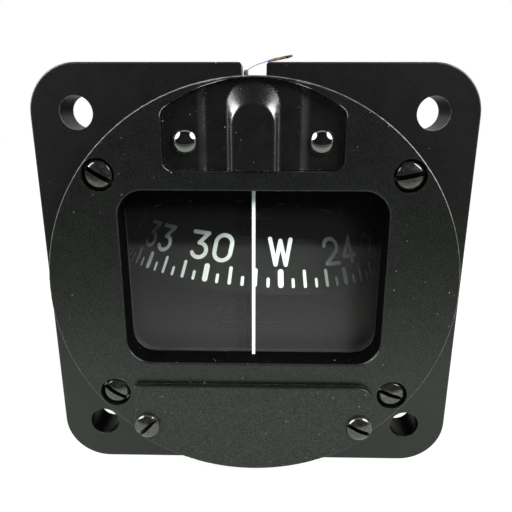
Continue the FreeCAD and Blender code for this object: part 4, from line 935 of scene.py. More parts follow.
@dataclass
class LampCover:
    """The cover over the lamp: a plate with a soft step and a rounded rib, fitted into the bezel's pocket."""

    half_width: float = 15.48
    bottom: float = 22.02
    top_radius: float = 25.38
    top_centre: float = 11.65
    corner: float = 1.68
    back: float = -2.9
    plate_front: float = -3.85
    step_front: float = -4.3
    rib_front: float = -5.65
    step_edge: float = 8.35
    step_softness: float = 0.8
    rib_foot: float = 4.85
    rib_foot_arch: float = 32.4
    rib_crest: float = 3.15
    rib_crest_arch: float = 29.8
    rib_turn: float = 0.86
    way_radius: float = 2.3
    way_y: float = -1.9
    way_z: Point2 = (23.3, 33.3)
    columns: int = 320
    rows: int = 90

    def low(self, x: float) -> float:
        """The lower end of the cover at a place across it."""
        over = max(abs(x) - self.half_width + self.corner, 0.0)
        return self.bottom + self.corner - math.sqrt(max(self.corner ** 2 - over ** 2, 0.0))

    def high(self, x: float) -> float:
        """The upper end of the cover at a place across it."""
        inside = self.half_width - self.corner
        inner_radius = self.top_radius - self.corner
        if abs(x) <= inside * self.top_radius / inner_radius:
            return self.top_centre + math.sqrt(self.top_radius ** 2 - x * x)
        turn_z = self.top_centre + math.sqrt(inner_radius ** 2 - inside ** 2)
        return turn_z + math.sqrt(max(self.corner ** 2 - (abs(x) - inside) ** 2, 0.0))

    @staticmethod
    def ease(share: float) -> float:
        """A soft rise from 0 to 1 with a steep middle."""
        held = min(max(share, 0.0), 1.0)
        return held ** 3 * (10 - 15 * held + 6 * held * held)

    def rounded(self, inside: float, outside: float, height: float) -> float:
        """The share of the rib's height at a place on its flank, which is straight between two round turns.

        Args:
            inside: How far the place is from the foot.
            outside: How far it is from the crest.
            height: The rib's height there.

        Returns:
            The share, 0 at the foot and 1 at the crest.
        """
        half_width = (inside + outside) / 2
        turn = min(self.rib_turn, (half_width ** 2 + height ** 2 / 4) / height)
        over = height / 2 - turn
        slope = math.atan2(over, half_width) + math.asin(min(turn / math.hypot(half_width, over), 1.0))
        near = min(inside, outside)
        bend = turn * math.sin(slope)
        if near < bend:
            rise = turn - math.sqrt(turn * turn - near * near)
        else:
            rise = turn * (1 - math.cos(slope)) + (near - bend) * math.tan(slope)
        return rise / height if inside < outside else 1 - rise / height

    @staticmethod
    def beyond(x: float, z: float, half: float, arch: float) -> float:
        """How far a place lies outside an arched outline; less than 0 inside it."""
        return math.hypot(x, z - arch) - half if z > arch else abs(x) - half

    def front(self, x: float, z: float) -> float:
        """The Y of the cover's front at a place."""
        step = self.ease(0.5 - (abs(x) - self.step_edge) / (2 * self.step_softness))
        base = self.plate_front + (self.step_front - self.plate_front) * step
        inside_foot = -self.beyond(x, z, self.rib_foot, self.rib_foot_arch)
        outside_crest = self.beyond(x, z, self.rib_crest, self.rib_crest_arch)
        if outside_crest <= 0:
            return self.rib_front
        if inside_foot <= 0:
            return base
        return base + (self.rib_front - base) * self.rounded(inside_foot, outside_crest, base - self.rib_front)

    def rear(self, x: float, z: float) -> float:
        """The Y of the cover's back at a place, with the way for the lamp."""
        if abs(x) >= self.way_radius or not self.way_z[0] <= z <= self.way_z[1]:
            return self.back
        return min(self.back, self.way_y - math.sqrt(self.way_radius ** 2 - x * x))

    def surface(self, depth: Callable[[float, float], float]) -> list[Point3]:
        """The points of the cover's front or back, row by row and closer together toward the sides.

        Args:
            depth: Gives the surface's Y at a place.

        Returns:
            The points.
        """
        points: list[Point3] = []
        for row in range(self.rows + 1):
            for column in range(self.columns + 1):
                turn = math.pi * column / self.columns
                x = -self.half_width * (0.5 * (1 - 2 * column / self.columns) + 0.5 * math.cos(turn))
                low = self.low(x)
                z = low + (self.high(x) - low) * row / self.rows
                points.append((x, depth(x, z), z))
        return points

    def build(self, material: bpy.types.Material) -> bpy.types.Object:
        """Builds the cover in place of its plain solid.

        Args:
            material: The cover's paint.

        Returns:
            The piece.
        """
        piece = MeshPiece()
        faces = grid_faces(self.rows, self.columns)
        rim = grid_rim(self.rows, self.columns)
        behind = (self.rows + 1) * (self.columns + 1)
        piece.add(self.surface(self.front), faces)
        piece.add(self.surface(self.rear), [(a, d, c, b) for a, b, c, d in faces])
        for here, there in zip(rim, rim[1:] + rim[:1]):
            piece.faces.append((here, here + behind, there + behind, there))
        cover = piece.finish("lamp_cover_form", Body.HOUSING, "cover_paint", material, smooth_angle=40)
        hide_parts("lamp_cover")
        return cover


@dataclass
class LiquidFront:
    """The face of the damping liquid behind the glass, which bends the view of the card."""

    half_width: float = 24.4
    bottom: float = -15.15
    top: float = 18.9
    corner: float = 5.1
    y: float = 2.25
    thickness: float = 0.1
    steps: int = 12

    def build(self, material: bpy.types.Material, depth: bpy.types.Material) -> bpy.types.Object:
        """Builds the face as a thin plate whose front bends the light and whose other faces let it pass.

        Args:
            material: The front's clear liquid.
            depth: What the plate's other faces show, the inside of the liquid.

        Returns:
            The piece.
        """
        inside = self.half_width - self.corner
        middles = ((inside, self.top - self.corner), (-inside, self.top - self.corner),
                   (-inside, self.bottom + self.corner), (inside, self.bottom + self.corner))
        rim: list[Point3] = []
        for quarter, (x, z) in enumerate(middles):
            for step in range(self.steps + 1):
                turn = math.pi / 2 * (quarter + step / self.steps)
                rim.append((x + self.corner * math.cos(turn), self.y, z + self.corner * math.sin(turn)))
        front = [(0.0, self.y, (self.top + self.bottom) / 2)] + rim
        count = len(rim)
        piece = MeshPiece()
        piece.add_slab(front, [(x, y + self.thickness, z) for x, y, z in front],
                       [(0, 1 + number, 1 + (number + 1) % count) for number in range(count)])
        skin = piece.finish("liquid_front", Body.HOUSING, "glass", material)
        skin.data.materials.append(depth)
        middle = (self.y + self.thickness / 2) * MM
        for face in skin.data.polygons:
            rearmost = max(skin.data.vertices[index].co.y for index in face.vertices)
            face.material_index = int(rearmost > middle)
        return skin


@dataclass
class CoverStuds:
    """The two domed studs of the lamp cover."""

    places: tuple[Point2, ...] = ((-11.75, 26.8), (11.75, 26.8))
    seat_y: float = -3.9
    radius: float = 2.15
    rise: float = 1.5
    foot: float = 0.5
    shank_radius: float = 0.8
    shank_length: float = 3.0
    sides: int = 72
    rings: int = 18

    def build(self, material: bpy.types.Material) -> bpy.types.Object:
        """Builds both studs as turned pieces.

        Args:
            material: Their glossy black.

        Returns:
            The piece.
        """
        piece = MeshPiece()
        cap = self.rise - self.foot
        ball = (self.radius ** 2 + cap ** 2) / (2 * cap)
        widest = math.asin(min(self.radius / ball, 1.0))
        profile = [(ball * math.sin(widest * ring / self.rings),
                    self.seat_y - self.rise + ball * (1 - math.cos(widest * ring / self.rings)))
                   for ring in range(1, self.rings + 1)]
        profile += [(self.radius, self.seat_y), (self.shank_radius, self.seat_y),
                    (self.shank_radius, self.seat_y + self.shank_length)]
        for x, z in self.places:
            points: list[Point3] = [(x, self.seat_y - self.rise, z)]
            for radius, y in profile:
                for side in range(self.sides):
                    turn = 2 * math.pi * side / self.sides
                    points.append((x + radius * math.cos(turn), y, z + radius * math.sin(turn)))
            faces: list[Face] = []
            for side in range(self.sides):
                after = (side + 1) % self.sides
                faces.append((0, 1 + side, 1 + after))
                for ring in range(len(profile) - 1):
                    near = 1 + ring * self.sides
                    far = near + self.sides
                    faces.append((near + side, far + side, far + after, near + after))
            last = 1 + (len(profile) - 1) * self.sides
            faces.append(tuple(last + side for side in range(self.sides)))
            piece.add(points, faces)
        studs = piece.finish("lamp_cover_domes", Body.HOUSING, "stud_enamel", material, smooth_angle=50)
        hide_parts("lamp_cover_studs")
        return studs


@dataclass
class SlottedScrews:
    """Cheese-headed screws of one size, with slightly domed heads and straight slots."""

    name: str
    node: str
    places: tuple[ScrewPlace, ...]
    seat_y: float
    head_radius: float
    head_height: float
    shank_radius: float
    shank_length: float
    dome: float = 0.75
    edge: float = 0.6
    slot_width: float = 0.88
    slot_depth: float = 1.1
    outer_row: float = 0.999
    rows: int = 16
    columns: int = 48
    shank_overlap: float = 0.01
    shank_sides: int = 32

    def height(self, u: float, v: float) -> float:
        """How far the head's face stands off the seat at a place on it."""
        reach = min(math.hypot(u, v), self.head_radius)
        into_edge = max(reach - self.head_radius + self.edge, 0.0)
        fall = self.edge - math.sqrt(max(self.edge ** 2 - into_edge ** 2, 0.0))
        return self.head_height - self.dome * (reach / self.head_radius) ** 2 - fall

    def add_head(self, piece: MeshPiece, place: ScrewPlace) -> None:
        """Adds one head with its slot.

        Args:
            piece: The mesh that it goes to.
            place: The screw's place and turn.
        """
        half = self.slot_width / 2
        reach = self.head_radius * self.outer_row - half
        sides = [half + reach * math.sin(math.pi / 2 * row / self.rows) for row in range(self.rows + 1)]
        levels = [(-v, False) for v in reversed(sides)] + [(-half, True), (half, True)] + [(v, False) for v in sides]
        along = (math.cos(math.radians(place.turn)), math.sin(math.radians(place.turn)))
        face: list[Point3] = []
        base: list[Point3] = []
        for v, in_slot in levels:
            chord = math.sqrt(self.head_radius ** 2 - v * v)
            for column in range(self.columns + 1):
                u = chord * math.sin(math.pi / 2 * (2 * column / self.columns - 1))
                tall = self.head_height - self.slot_depth if in_slot else self.height(u, v)
                x = place.x + u * along[0] - v * along[1]
                z = place.z + u * along[1] + v * along[0]
                face.append((x, self.seat_y - tall, z))
                base.append((x, self.seat_y, z))
        faces = grid_faces(len(levels) - 1, self.columns)
        rim = grid_rim(len(levels) - 1, self.columns)
        first = len(face)
        for number, index in enumerate(rim):
            after = (number + 1) % len(rim)
            faces.append((index, first + number, first + after, rim[after]))
        faces.append(tuple(first + number for number in range(len(rim))))
        piece.add(face + [base[index] for index in rim], faces)

    def build(self, material: bpy.types.Material) -> bpy.types.Object:
        """Builds all the screws as one piece.

        Args:
            material: Their steel.

        Returns:
            The piece.
        """
        piece = MeshPiece()
        for place in self.places:
            self.add_head(piece, place)
            ends = (self.seat_y - self.shank_overlap, self.seat_y + self.shank_length)
            piece.add_tube([Vector((place.x, y, place.z)) for y in ends], self.shank_radius, self.shank_sides)
        screws = piece.finish(self.name, Body.HOUSING, "screw_steel", material, smooth_angle=45)
        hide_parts(self.node)
        return screws


@dataclass
class JewelSpring:
    """The coil under the jewel's post, which shortens as the post sinks."""

    centre_y: float = 33.9
    foot_z: float = -18.6
    low_z: float = -18.21
    high_z: float = -7.42
    coil_radius: float = 1.25
    wire_radius: float = 0.17
    turns: int = 7
    steps_per_turn: int = 40
    wire_sides: int = 14
    travel: float = 0.5

    def build(self, material: bpy.types.Material) -> bpy.types.Object:
        """Builds the coil.

        Args:
            material: Its steel.

        Returns:
            The piece.
        """
        count = self.turns * self.steps_per_turn
        line: list[Vector] = []
        for step in range(count + 1):
            turn = 2 * math.pi * self.turns * step / count
            line.append(Vector((self.coil_radius * math.cos(turn),
                                self.centre_y + self.coil_radius * math.sin(turn),
                                self.low_z + (self.high_z - self.low_z) * step / count)))
        piece = MeshPiece()
        piece.add_tube(line, self.wire_radius, self.wire_sides)
        spring = piece.finish("jewel_spring_coil", Body.HOUSING, "hard_steel", material, smooth_angle=50)
        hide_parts("jewel_spring")
        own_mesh(spring)
        return spring


def smooth_line(route: Sequence[Point3], steps: int) -> list[Vector]:
    """Points along the smooth line that a route steers.

    Args:
        route: The points that steer the line; it starts at the first and ends at the last.
        steps: How many steps each part of the line has.

    Returns:
        The points.
    """
    guide = [Vector(point) for point in route]
    line = [guide[0]]
    for number in range(1, len(guide) - 1):
        start = guide[0] if number == 1 else (guide[number - 1] + guide[number]) / 2
        end = guide[-1] if number == len(guide) - 2 else (guide[number] + guide[number + 1]) / 2
        for step in range(1, steps + 1):
            t = step / steps
            line.append(start * (1 - t) ** 2 + guide[number] * (2 * t * (1 - t)) + end * t ** 2)
    return line


@dataclass
class LampLead:
    """The lamp's long thin lead, which comes out of the notch and lies along the barrel."""

    name: str
    node: str
    route: tuple[Point3, ...]
    length: float
    diameter: float = 0.8
    round_steps: int = 5
    long_steps: int = 16

    def build(self, material: bpy.types.Material) -> bpy.types.Object:
        """Lays the lead on its smooth line.

        Args:
            material: The lead's sleeve.

        Returns:
            The piece.
        """
        curve = bpy.data.curves.new(self.name, "CURVE")
        curve.dimensions = "3D"
        curve.bevel_depth = self.diameter / 2 * MM
        curve.bevel_resolution = self.round_steps
        curve.resolution_u = self.long_steps
        curve.use_fill_caps = True
        line = curve.splines.new("NURBS")
        line.points.add(len(self.route) - 1)
        for point, place in zip(line.points, self.route):
            point.co = (*(Vector(place) * MM), 1.0)
        line.order_u = 3
        line.use_endpoint_u = True
        lead = bpy.data.objects.new(self.name, curve)
        bpy.context.scene.collection.objects.link(lead)
        curve.materials.append(material)
        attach(lead, Body.HOUSING.value)
        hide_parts(self.node)
        log.info("%s: %d points", self.name, len(self.route))
        return lead


@dataclass
class StrippedLead:
    """The lamp's short lead: a sleeve up to the notch, then thin enamelled wire that ends in bare strands.

    The shares are where along the lead its sleeve and its enamel end. The wire and the strands start a few steps
    further back, inside what covers them. The strands stand off more and more, and end a few steps apart.
    """

    name: str
    node: str
    route: tuple[Point3, ...]
    steps: int = 14
    sleeve_radius: float = 0.4
    sleeve_share: float = 0.49
    sleeve_sides: int = 20
    wire_radius: float = 0.08
    wire_share: float = 0.9
    wire_sides: int = 12
    wire_back: int = 2
    strand_radius: float = 0.1
    strand_sides: int = 8
    strand_back: int = 3
    strand_ring: float = 0.18
    strand_ring_start: float = 0.3
    strand_ring_growth: float = 2.0
    strand_count: int = 7
    strand_turns: float = 1.3
    strand_lengths: int = 3

    def build(self, material: bpy.types.Material) -> bpy.types.Object:
        """Builds the sleeve, the wire and its strands.

        Args:
            material: The finish, which changes along the lead.

        Returns:
            The piece.
        """
        piece = MeshPiece()
        line = smooth_line(self.route, self.steps)
        sleeve_end = int(len(line) * self.sleeve_share)
        wire_end = int(len(line) * self.wire_share)
        piece.add_tube(line[:sleeve_end], self.sleeve_radius, self.sleeve_sides)
        piece.add_tube(line[sleeve_end - self.wire_back:wire_end], self.wire_radius, self.wire_sides)
        bare = line[wire_end - self.strand_back:]
        for strand in range(self.strand_count):
            kept = len(bare) - strand % self.strand_lengths
            piece.add_tube(self.strand_line(bare, strand)[:kept], self.strand_radius, self.strand_sides)
        lead = piece.finish(self.name, Body.HOUSING, "lead_insulation", material, smooth_angle=50)
        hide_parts(self.node)
        return lead

    def strand_line(self, bare: Sequence[Vector], strand: int) -> list[Vector]:
        """The line of one strand, which winds round the lead's bare end and stands off as it frays.

        Args:
            bare: The middle of the bare end.
            strand: The strand's number.

        Returns:
            The points.
        """
        lay = []
        for number, (spot, side, other) in enumerate(frames(bare)):
            share = number / (len(bare) - 1)
            turn = 2 * math.pi * (strand / self.strand_count + self.strand_turns * share)
            ring = self.strand_ring * min(1.0, self.strand_ring_start + self.strand_ring_growth * share)
            lay.append(spot + side * (ring * math.cos(turn)) + other * (ring * math.sin(turn)))
        return lay


@dataclass
class Lettering:
    """Round-ended strokes for the card's numbers and letters, in millimetres about the middle of the foot line."""

    height: float = 6.15
    stroke: float = 0.84
    half_width: float = 1.66
    middle_share: float = 0.58
    step: float = 0.25
    shortest: float = 1e-6
    arc_step: float = 9.0
    arc_parts: int = 6
    cap_parts: int = 8

    def arc(self, centre: Point2, radii: Point2, start: float, finish: float) -> list[Point2]:
        """Points along part of an ellipse.

        Args:
            centre: Its centre.
            radii: Its two radii.
            start: The first angle in degrees.
            finish: The last angle in degrees.

        Returns:
            The points.
        """
        count = max(self.arc_parts, int(abs(finish - start) / self.arc_step))
        return [(centre[0] + radii[0] * math.cos(math.radians(start + (finish - start) * i / count)),
                 centre[1] + radii[1] * math.sin(math.radians(start + (finish - start) * i / count)))
                for i in range(count + 1)]

    def strokes(self, sign: str) -> list[list[Point2]]:
        """The strokes of one number or letter.

        Args:
            sign: One of the card's numbers or letters.

        Returns:
            A list of lines, each a list of points.
        """
        low = self.stroke / 2
        top = self.height - self.stroke / 2
        w = self.half_width
        middle = low + (top - low) * self.middle_share
        bowl = (middle - low) / 2
        ring = (0.0, low + bowl)
        shapes: dict[str, list[list[Point2]]] = {
            "0": [self.arc((0, top - w), (w, w), 0, 180) + self.arc((0, low + w), (w, w), 180, 360) + [(w, top - w)]],
            "1": [[(-0.75, top - 1.0), (0.25, top)], [(0.25, top), (0.25, low)]],
            "2": [self.arc((0, top - w), (w, w), 172, -35) + [(-w, low)], [(-w, low), (w, low)]],
            "3": [[(-w + 0.05, top), (w - 0.05, top)], [(w - 0.05, top), (-0.15, middle)],
                  self.arc(ring, (w, bowl), 96, -152)],
            "4": [[(0.62, low), (0.62, top)], [(0.62, top), (-w - 0.1, low + 1.35)],
                  [(-w - 0.1, low + 1.35), (w + 0.1, low + 1.35)]],
            "5": [[(-w + 0.15, top), (w, top)], [(-w + 0.15, top), (-w + 0.1, middle - 0.25)],
                  self.arc(ring, (w, bowl), 140, -148)],
            "6": [[(0.75, top), (-0.85, middle - 0.2)] + self.arc(ring, (w, bowl), 135, 495)],
            "N": [[(-1.45, low), (-1.45, top)], [(-1.45, top), (1.45, low)], [(1.45, low), (1.45, top)]],
            "E": [[(-1.2, low), (-1.2, top)], [(-1.2, top), (1.3, top)], [(-1.2, low), (1.3, low)],
                  [(-1.2, (top + low) / 2), (0.9, (top + low) / 2)]],
            "S": [self.arc((0, top - bowl * 0.9), (w, bowl * 0.9), 35, 250)
                  + self.arc((0, low + bowl), (w, bowl), 75, -145)],
            "W": [[(-2.1, top), (-1.05, low)], [(-1.05, low), (0.0, top - 0.35)], [(0.0, top - 0.35), (1.05, low)],
                  [(1.05, low), (2.1, top)]],
        }
        return shapes[sign]

    def closely(self, line: Sequence[Point2]) -> list[Point2]:
        """The same line with its long runs cut into short ones."""
        dense = [line[0]]
        for (x0, y0), (x1, y1) in zip(line, line[1:]):
            run = math.hypot(x1 - x0, y1 - y0)
            if run < self.shortest:
                continue
            count = max(1, math.ceil(run / self.step))
            dense.extend((x0 + (x1 - x0) * i / count, y0 + (y1 - y0) * i / count) for i in range(1, count + 1))
        return dense

    def ribbon(self, line: Sequence[Point2], width: float) -> tuple[list[Point2], list[Face]]:
        """A flat ribbon with round ends along a line.

        Args:
            line: The middle of the ribbon.
            width: Its width.

        Returns:
            Its points and its faces.
        """
        dense = self.closely(line)
        points: list[Point2] = []
        faces: list[Face] = []
        directions = []
        for index, here in enumerate(dense):
            before = dense[max(index - 1, 0)]
            after = dense[min(index + 1, len(dense) - 1)]
            run = math.hypot(after[0] - before[0], after[1] - before[1])
            directions.append(((after[0] - before[0]) / run, (after[1] - before[1]) / run))
        half = width / 2
        for (x, y), (dx, dy) in zip(dense, directions):
            points.extend([(x - dy * half, y + dx * half), (x, y), (x + dy * half, y - dx * half)])
        for index in range(len(dense) - 1):
            a = index * 3
            faces.append((a + 1, a, a + 3, a + 4))
            faces.append((a + 2, a + 1, a + 4, a + 5))
        for index, sense in ((0, 1), (len(dense) - 1, -1)):
            (x, y), (dx, dy) = dense[index], directions[index]
            start = math.atan2(dx, -dy)
            rim = [index * 3 + (0 if sense == 1 else 2)]
            for part in range(1, self.cap_parts):
                turn = start + (0 if sense == 1 else math.pi) + math.pi * part / self.cap_parts
                rim.append(len(points))
                points.append((x + half * math.cos(turn), y + half * math.sin(turn)))
            rim.append(index * 3 + (2 if sense == 1 else 0))
            for first, second in zip(rim, rim[1:]):
                faces.append((index * 3 + 1, first, second))
        return points, faces


@dataclass
class CardScale:
    """The white numbers and marks on the sloping rim of the compass card."""

    centre_y: float = 33.9
    pivot_z: float = 4.0
    bottom_z: float = -3.4
    bottom_radius: float = 30.6
    lean: float = 23.0
    heading: float = 281.0
    roll: float = 3.6
    lift: float = 0.03
    stroke_lift: float = 0.004
    sunk: float = 0.02
    tick_foot: float = 1.42
    sign_foot: float = 5.85
    sign_pitch: float = 5.15
    signs: tuple[str, ...] = ("N", "3", "6", "E", "12", "15", "S", "21", "24", "W", "30", "33")
    lettering: Lettering = field(default_factory=Lettering)

    def place(self, value: float, across: float, up: float, lift: float) -> Point3:
        """A point on the card's slope, with the card's heading and lean.

        Args:
            value: The heading in degrees that the point belongs to.
            across: How far it lies to the reader's right.
            up: How far it lies up the slope from the card's lower edge.
            lift: How far it stands off the surface.

        Returns:
            The point in the part's frame.
        """
        slope = math.radians(self.lean)
        radius = self.bottom_radius - up * math.sin(slope)
        angle = math.radians(value - self.heading) - across / radius
        reach = radius + lift * math.cos(slope)
        height = self.bottom_z + up * math.cos(slope) + lift * math.sin(slope)
        spot = Vector((-reach * math.sin(angle), -reach * math.cos(angle), height - self.pivot_z))
        turned = Matrix.Rotation(math.radians(self.roll), 3, "Y") @ spot
        return (turned.x, turned.y + self.centre_y, turned.z + self.pivot_z)

    def lay(self, piece: MeshPiece, value: float, line: Sequence[Point2], shift: float, foot: float, width: float,
            layer: int) -> None:
        """Lays one stroke on the card.

        Args:
            piece: The mesh that it goes to.
            value: The heading that it stands at.
            line: The stroke's line.
            shift: How far it is moved to the right.
            foot: How far up the slope its foot line is.
            width: Its width.
            layer: Its number among strokes that cross, so that they don't share a surface.
        """
        points, faces = self.lettering.ribbon(line, width)
        top, under = ([self.place(value, x + shift, y + foot, lift) for x, y in points]
                      for lift in (self.lift + layer * self.stroke_lift, -self.sunk))
        piece.add_slab(top, under, faces)

    def build(self, material: bpy.types.Material) -> list[bpy.types.Object]:
        """Builds the numbers and the marks.

        Args:
            material: Their white paint.

        Returns:
            The two pieces.
        """
        signs = MeshPiece()
        for number, text in enumerate(self.signs):
            for index, sign in enumerate(text):
                shift = (index - (len(text) - 1) / 2) * self.sign_pitch
                for layer, line in enumerate(self.lettering.strokes(sign)):
                    self.lay(signs, number * 30, line, shift, self.sign_foot, self.lettering.stroke, layer)
        marks = MeshPiece()
        for value in range(0, 360, 5):
            tick = Tick.THIRTY if value % 30 == 0 else Tick.TEN if value % 10 == 0 else Tick.FIVE
            length, width = tick.value
            line = [(0.0, width / 2), (0.0, length - width / 2)]
            self.lay(marks, value, line, 0.0, self.tick_foot, width, 0)
        return [signs.finish("card_numbers", Body.CARD, "white_enamel", material),
                marks.finish("card_marks", Body.CARD, "white_enamel", material)]


@dataclass(frozen=True)
class Lamp:
    """A round lamp of the studio, with its power in watts and its size in metres."""

    spot: Point3
    power: float
    size: float
    glints: bool = True


@dataclass
class Studio:
    """Floor, dark screen in front, lamps and camera.

    The floor's ranges of Y say where its paper starts, where its bounced light grows and sinks again before
    the part, and where it turns fully white to the camera.
    """

    floor_z: float = -40.1
    floor_size: float = 1600.0
    floor_light: Colour = (0.1, 0.106, 0.098)
    floor_dark: Colour = (0.01, 0.01, 0.01)
    paper: Pattern = Pattern(0.4, 3.0)
    paper_shade: float = 0.97
    paper_y: Point2 = (-180.0, -172.0)
    bounce_y: Point2 = (-118.0, -30.0)
    bounce: Point2 = (0.0, 0.9)
    bounce_tint: Colour = (0.93, 1.05, 0.9)
    near_y: Point2 = (-50.0, -5.0)
    near_bounce: Point2 = (1.0, 0.7)
    seen_y: Point2 = (40.0, 130.0)
    seen: Point2 = (0.94, 1.0)
    screen_y: float = -450.0
    screen_height: float = 1400.0
    screen_width: float = 2600.0
    cloth: tuple[Colour, Colour] = ((0.012, 0.012, 0.013), (0.02, 0.02, 0.021))
    weave: Pattern = Pattern(0.5, 2.0)
    fill: float = 0.12
    lamps: tuple[Lamp, ...] = (
        Lamp((-475.0, -150.0, 335.0), 5.2, 0.46),
        Lamp((455.0, -165.0, 355.0), 5.0, 0.46),
        Lamp((265.0, -315.0, 258.0), 3.1, 0.12, glints=False),
    )
    aim: Point3 = (0.0, 0.0, 5.0)
    camera_at: Point3 = (2.2, -93.9, 33.3)
    camera_down: float = 16.63
    camera_turn: float = 1.09
    camera_lean: float = 0.1
    lens: float = 36.26
    film_width: float = 36.0
    nearest: float = 3.0

    def plane(self, name: str, corners: Sequence[Point3], material: bpy.types.Material) -> bpy.types.Object:
        """A flat stage piece.

        Args:
            name: Its name.
            corners: Its four corners.
            material: Its finish.

        Returns:
            The piece.
        """
        mesh = bpy.data.meshes.new(name)
        mesh.from_pydata([Vector(corner) * MM for corner in corners], [], [(0, 1, 2, 3)])
        sheet = bpy.data.objects.new(name, mesh)
        bpy.context.scene.collection.objects.link(sheet)
        mesh.materials.append(material)
        return sheet

    def build_floor(self) -> None:
        """A pale floor that looks white to the camera and keeps the shadow."""
        graph = Graph.for_material("studio_floor")
        y = graph.millimetres()[1]
        shaded = tuple(part * self.paper_shade for part in self.floor_light)
        pale = graph.mix(graph.mask(self.paper), self.floor_light, shaded)
        pale = graph.mix(graph.ramp(y, *self.paper_y), self.floor_dark, pale)
        to_camera = graph.node("ShaderNodeLightPath").outputs["Is Camera Ray"]
        bounce = graph.ramp(y, *self.bounce_y, *self.bounce)
        bounce = graph.times(bounce, graph.ramp(y, *self.near_y, *self.near_bounce))
        seen = graph.times(to_camera, graph.ramp(y, *self.seen_y, *self.seen))
        glow = graph.shader(Shader.EMISSION, {
            "Color": graph.mix(to_camera, self.bounce_tint, (1, 1, 1)),
            "Strength": graph.math("ADD", seen, graph.times(graph.rest(to_camera), bounce))})
        both = graph.node("ShaderNodeAddShader")
        graph.join(graph.shader(Shader.DIFFUSE, {"Color": pale}).outputs[0], both.inputs[0])
        graph.join(glow.outputs[0], both.inputs[1])
        graph.show(both)
        half = self.floor_size / 2
        self.plane("floor", [(-half, self.screen_y, self.floor_z), (half, self.screen_y, self.floor_z),
                             (half, half, self.floor_z), (-half, half, self.floor_z)], graph.owner)

    def build_screen(self) -> None:
        """A dark screen behind the camera, which the gloss of the front sees but the camera doesn't."""
        graph = Graph.for_material("dark_cloth")
        graph.show(graph.shader(Shader.DIFFUSE, {"Color": graph.mix(graph.noise(self.weave), *self.cloth)}))
        half = self.screen_width / 2
        screen = self.plane("dark_screen", [(-half, self.screen_y, self.floor_z), (half, self.screen_y, self.floor_z),
                                            (half, self.screen_y, self.screen_height),
                                            (-half, self.screen_y, self.screen_height)], graph.owner)
        screen.visible_camera = False
        screen.visible_shadow = False
        screen.visible_diffuse = False

    def build_world(self) -> None:
        """White for what the camera, gloss and glass see, and a plain soft fill for the rest."""
        graph = Graph.for_world("studio")
        bpy.context.scene.world = graph.owner
        path = graph.node("ShaderNodeLightPath")
        seen = graph.math("MAXIMUM", path.outputs["Is Camera Ray"], path.outputs["Is Glossy Ray"])
        clear = graph.math("MAXIMUM", seen, path.outputs["Is Transmission Ray"])
        graph.show(graph.shader(Shader.BACKGROUND, {
            "Color": (1, 1, 1, 1), "Strength": graph.ramp(clear, 0.0, 1.0, self.fill, 1.0)}))

    def build_lamps(self) -> None:
        """Soft round lamps aimed at the dial; the small one that looks into the window leaves no glint."""
        for number, lamp in enumerate(self.lamps):
            light = bpy.data.lights.new(f"lamp_{number}", "AREA")
            light.shape = "DISK"
            light.size = lamp.size
            light.energy = lamp.power
            holder = bpy.data.objects.new(f"lamp_{number}", light)
            holder.location = Vector(lamp.spot) * MM
            aim = Vector(self.aim) * MM - holder.location
            holder.rotation_euler = aim.to_track_quat("-Z", "Y").to_euler()
            holder.visible_glossy = lamp.glints
            bpy.context.scene.collection.objects.link(holder)

    def build_camera(self) -> None:
        """The camera at the photograph's place and angle."""
        camera = bpy.data.cameras.new("camera")
        camera.sensor_width = self.film_width
        camera.lens = self.lens
        camera.clip_start = self.nearest * MM
        holder = bpy.data.objects.new("camera", camera)
        turn = (Matrix.Rotation(math.radians(self.camera_turn), 4, "Z")
                @ Matrix.Rotation(math.radians(90 - self.camera_down), 4, "X")
                @ Matrix.Rotation(math.radians(self.camera_lean), 4, "Z"))
        holder.matrix_world = Matrix.Translation(Vector(self.camera_at) * MM) @ turn
        bpy.context.scene.collection.objects.link(holder)
        bpy.context.scene.camera = holder

    def build(self) -> None:
        """Builds the whole studio."""
        self.build_floor()
        self.build_screen()
        self.build_world()
        self.build_lamps()
        self.build_camera()
        bpy.context.scene.view_settings.view_transform = "Standard"
        log.info("studio: %d lamps", len(self.lamps))


def painted_shade_black(name: str) -> GrainedFinish:
    """Painted shade: a near-black for the parts below and behind the card, in place of the shade they stand in."""
    return GrainedFinish(name, (0.0017, 0.0017, 0.0016), (0.0022, 0.0022, 0.0021), (0.75, 0.88),
                         grain_strength=0.1, specular=0.03)


HOLE_REACH = 31.435
# Where painted shade darkens the case's paint: the bowl and the four mounting holes
BORE_AND_HOLES = (Spot(0.0, 0.0, 33.0),) + tuple(Spot(side * HOLE_REACH, level * HOLE_REACH, 3.0)
                                                 for side in (-1, 1) for level in (-1, 1))
WINDOW_CORNERS = (Spot(-22.6, -13.4, 2.6), Spot(22.6, -13.4, 2.4), Spot(22.6, 17.1, 2.2))
POCKET_ENDS = (Spot(-15.0, 31.9, 1.5), Spot(15.0, 31.9, 1.6), Spot(-15.0, 22.4, 1.0), Spot(-7.0, 36.2, 3.0),
               Spot(8.2, 35.9, 1.8))

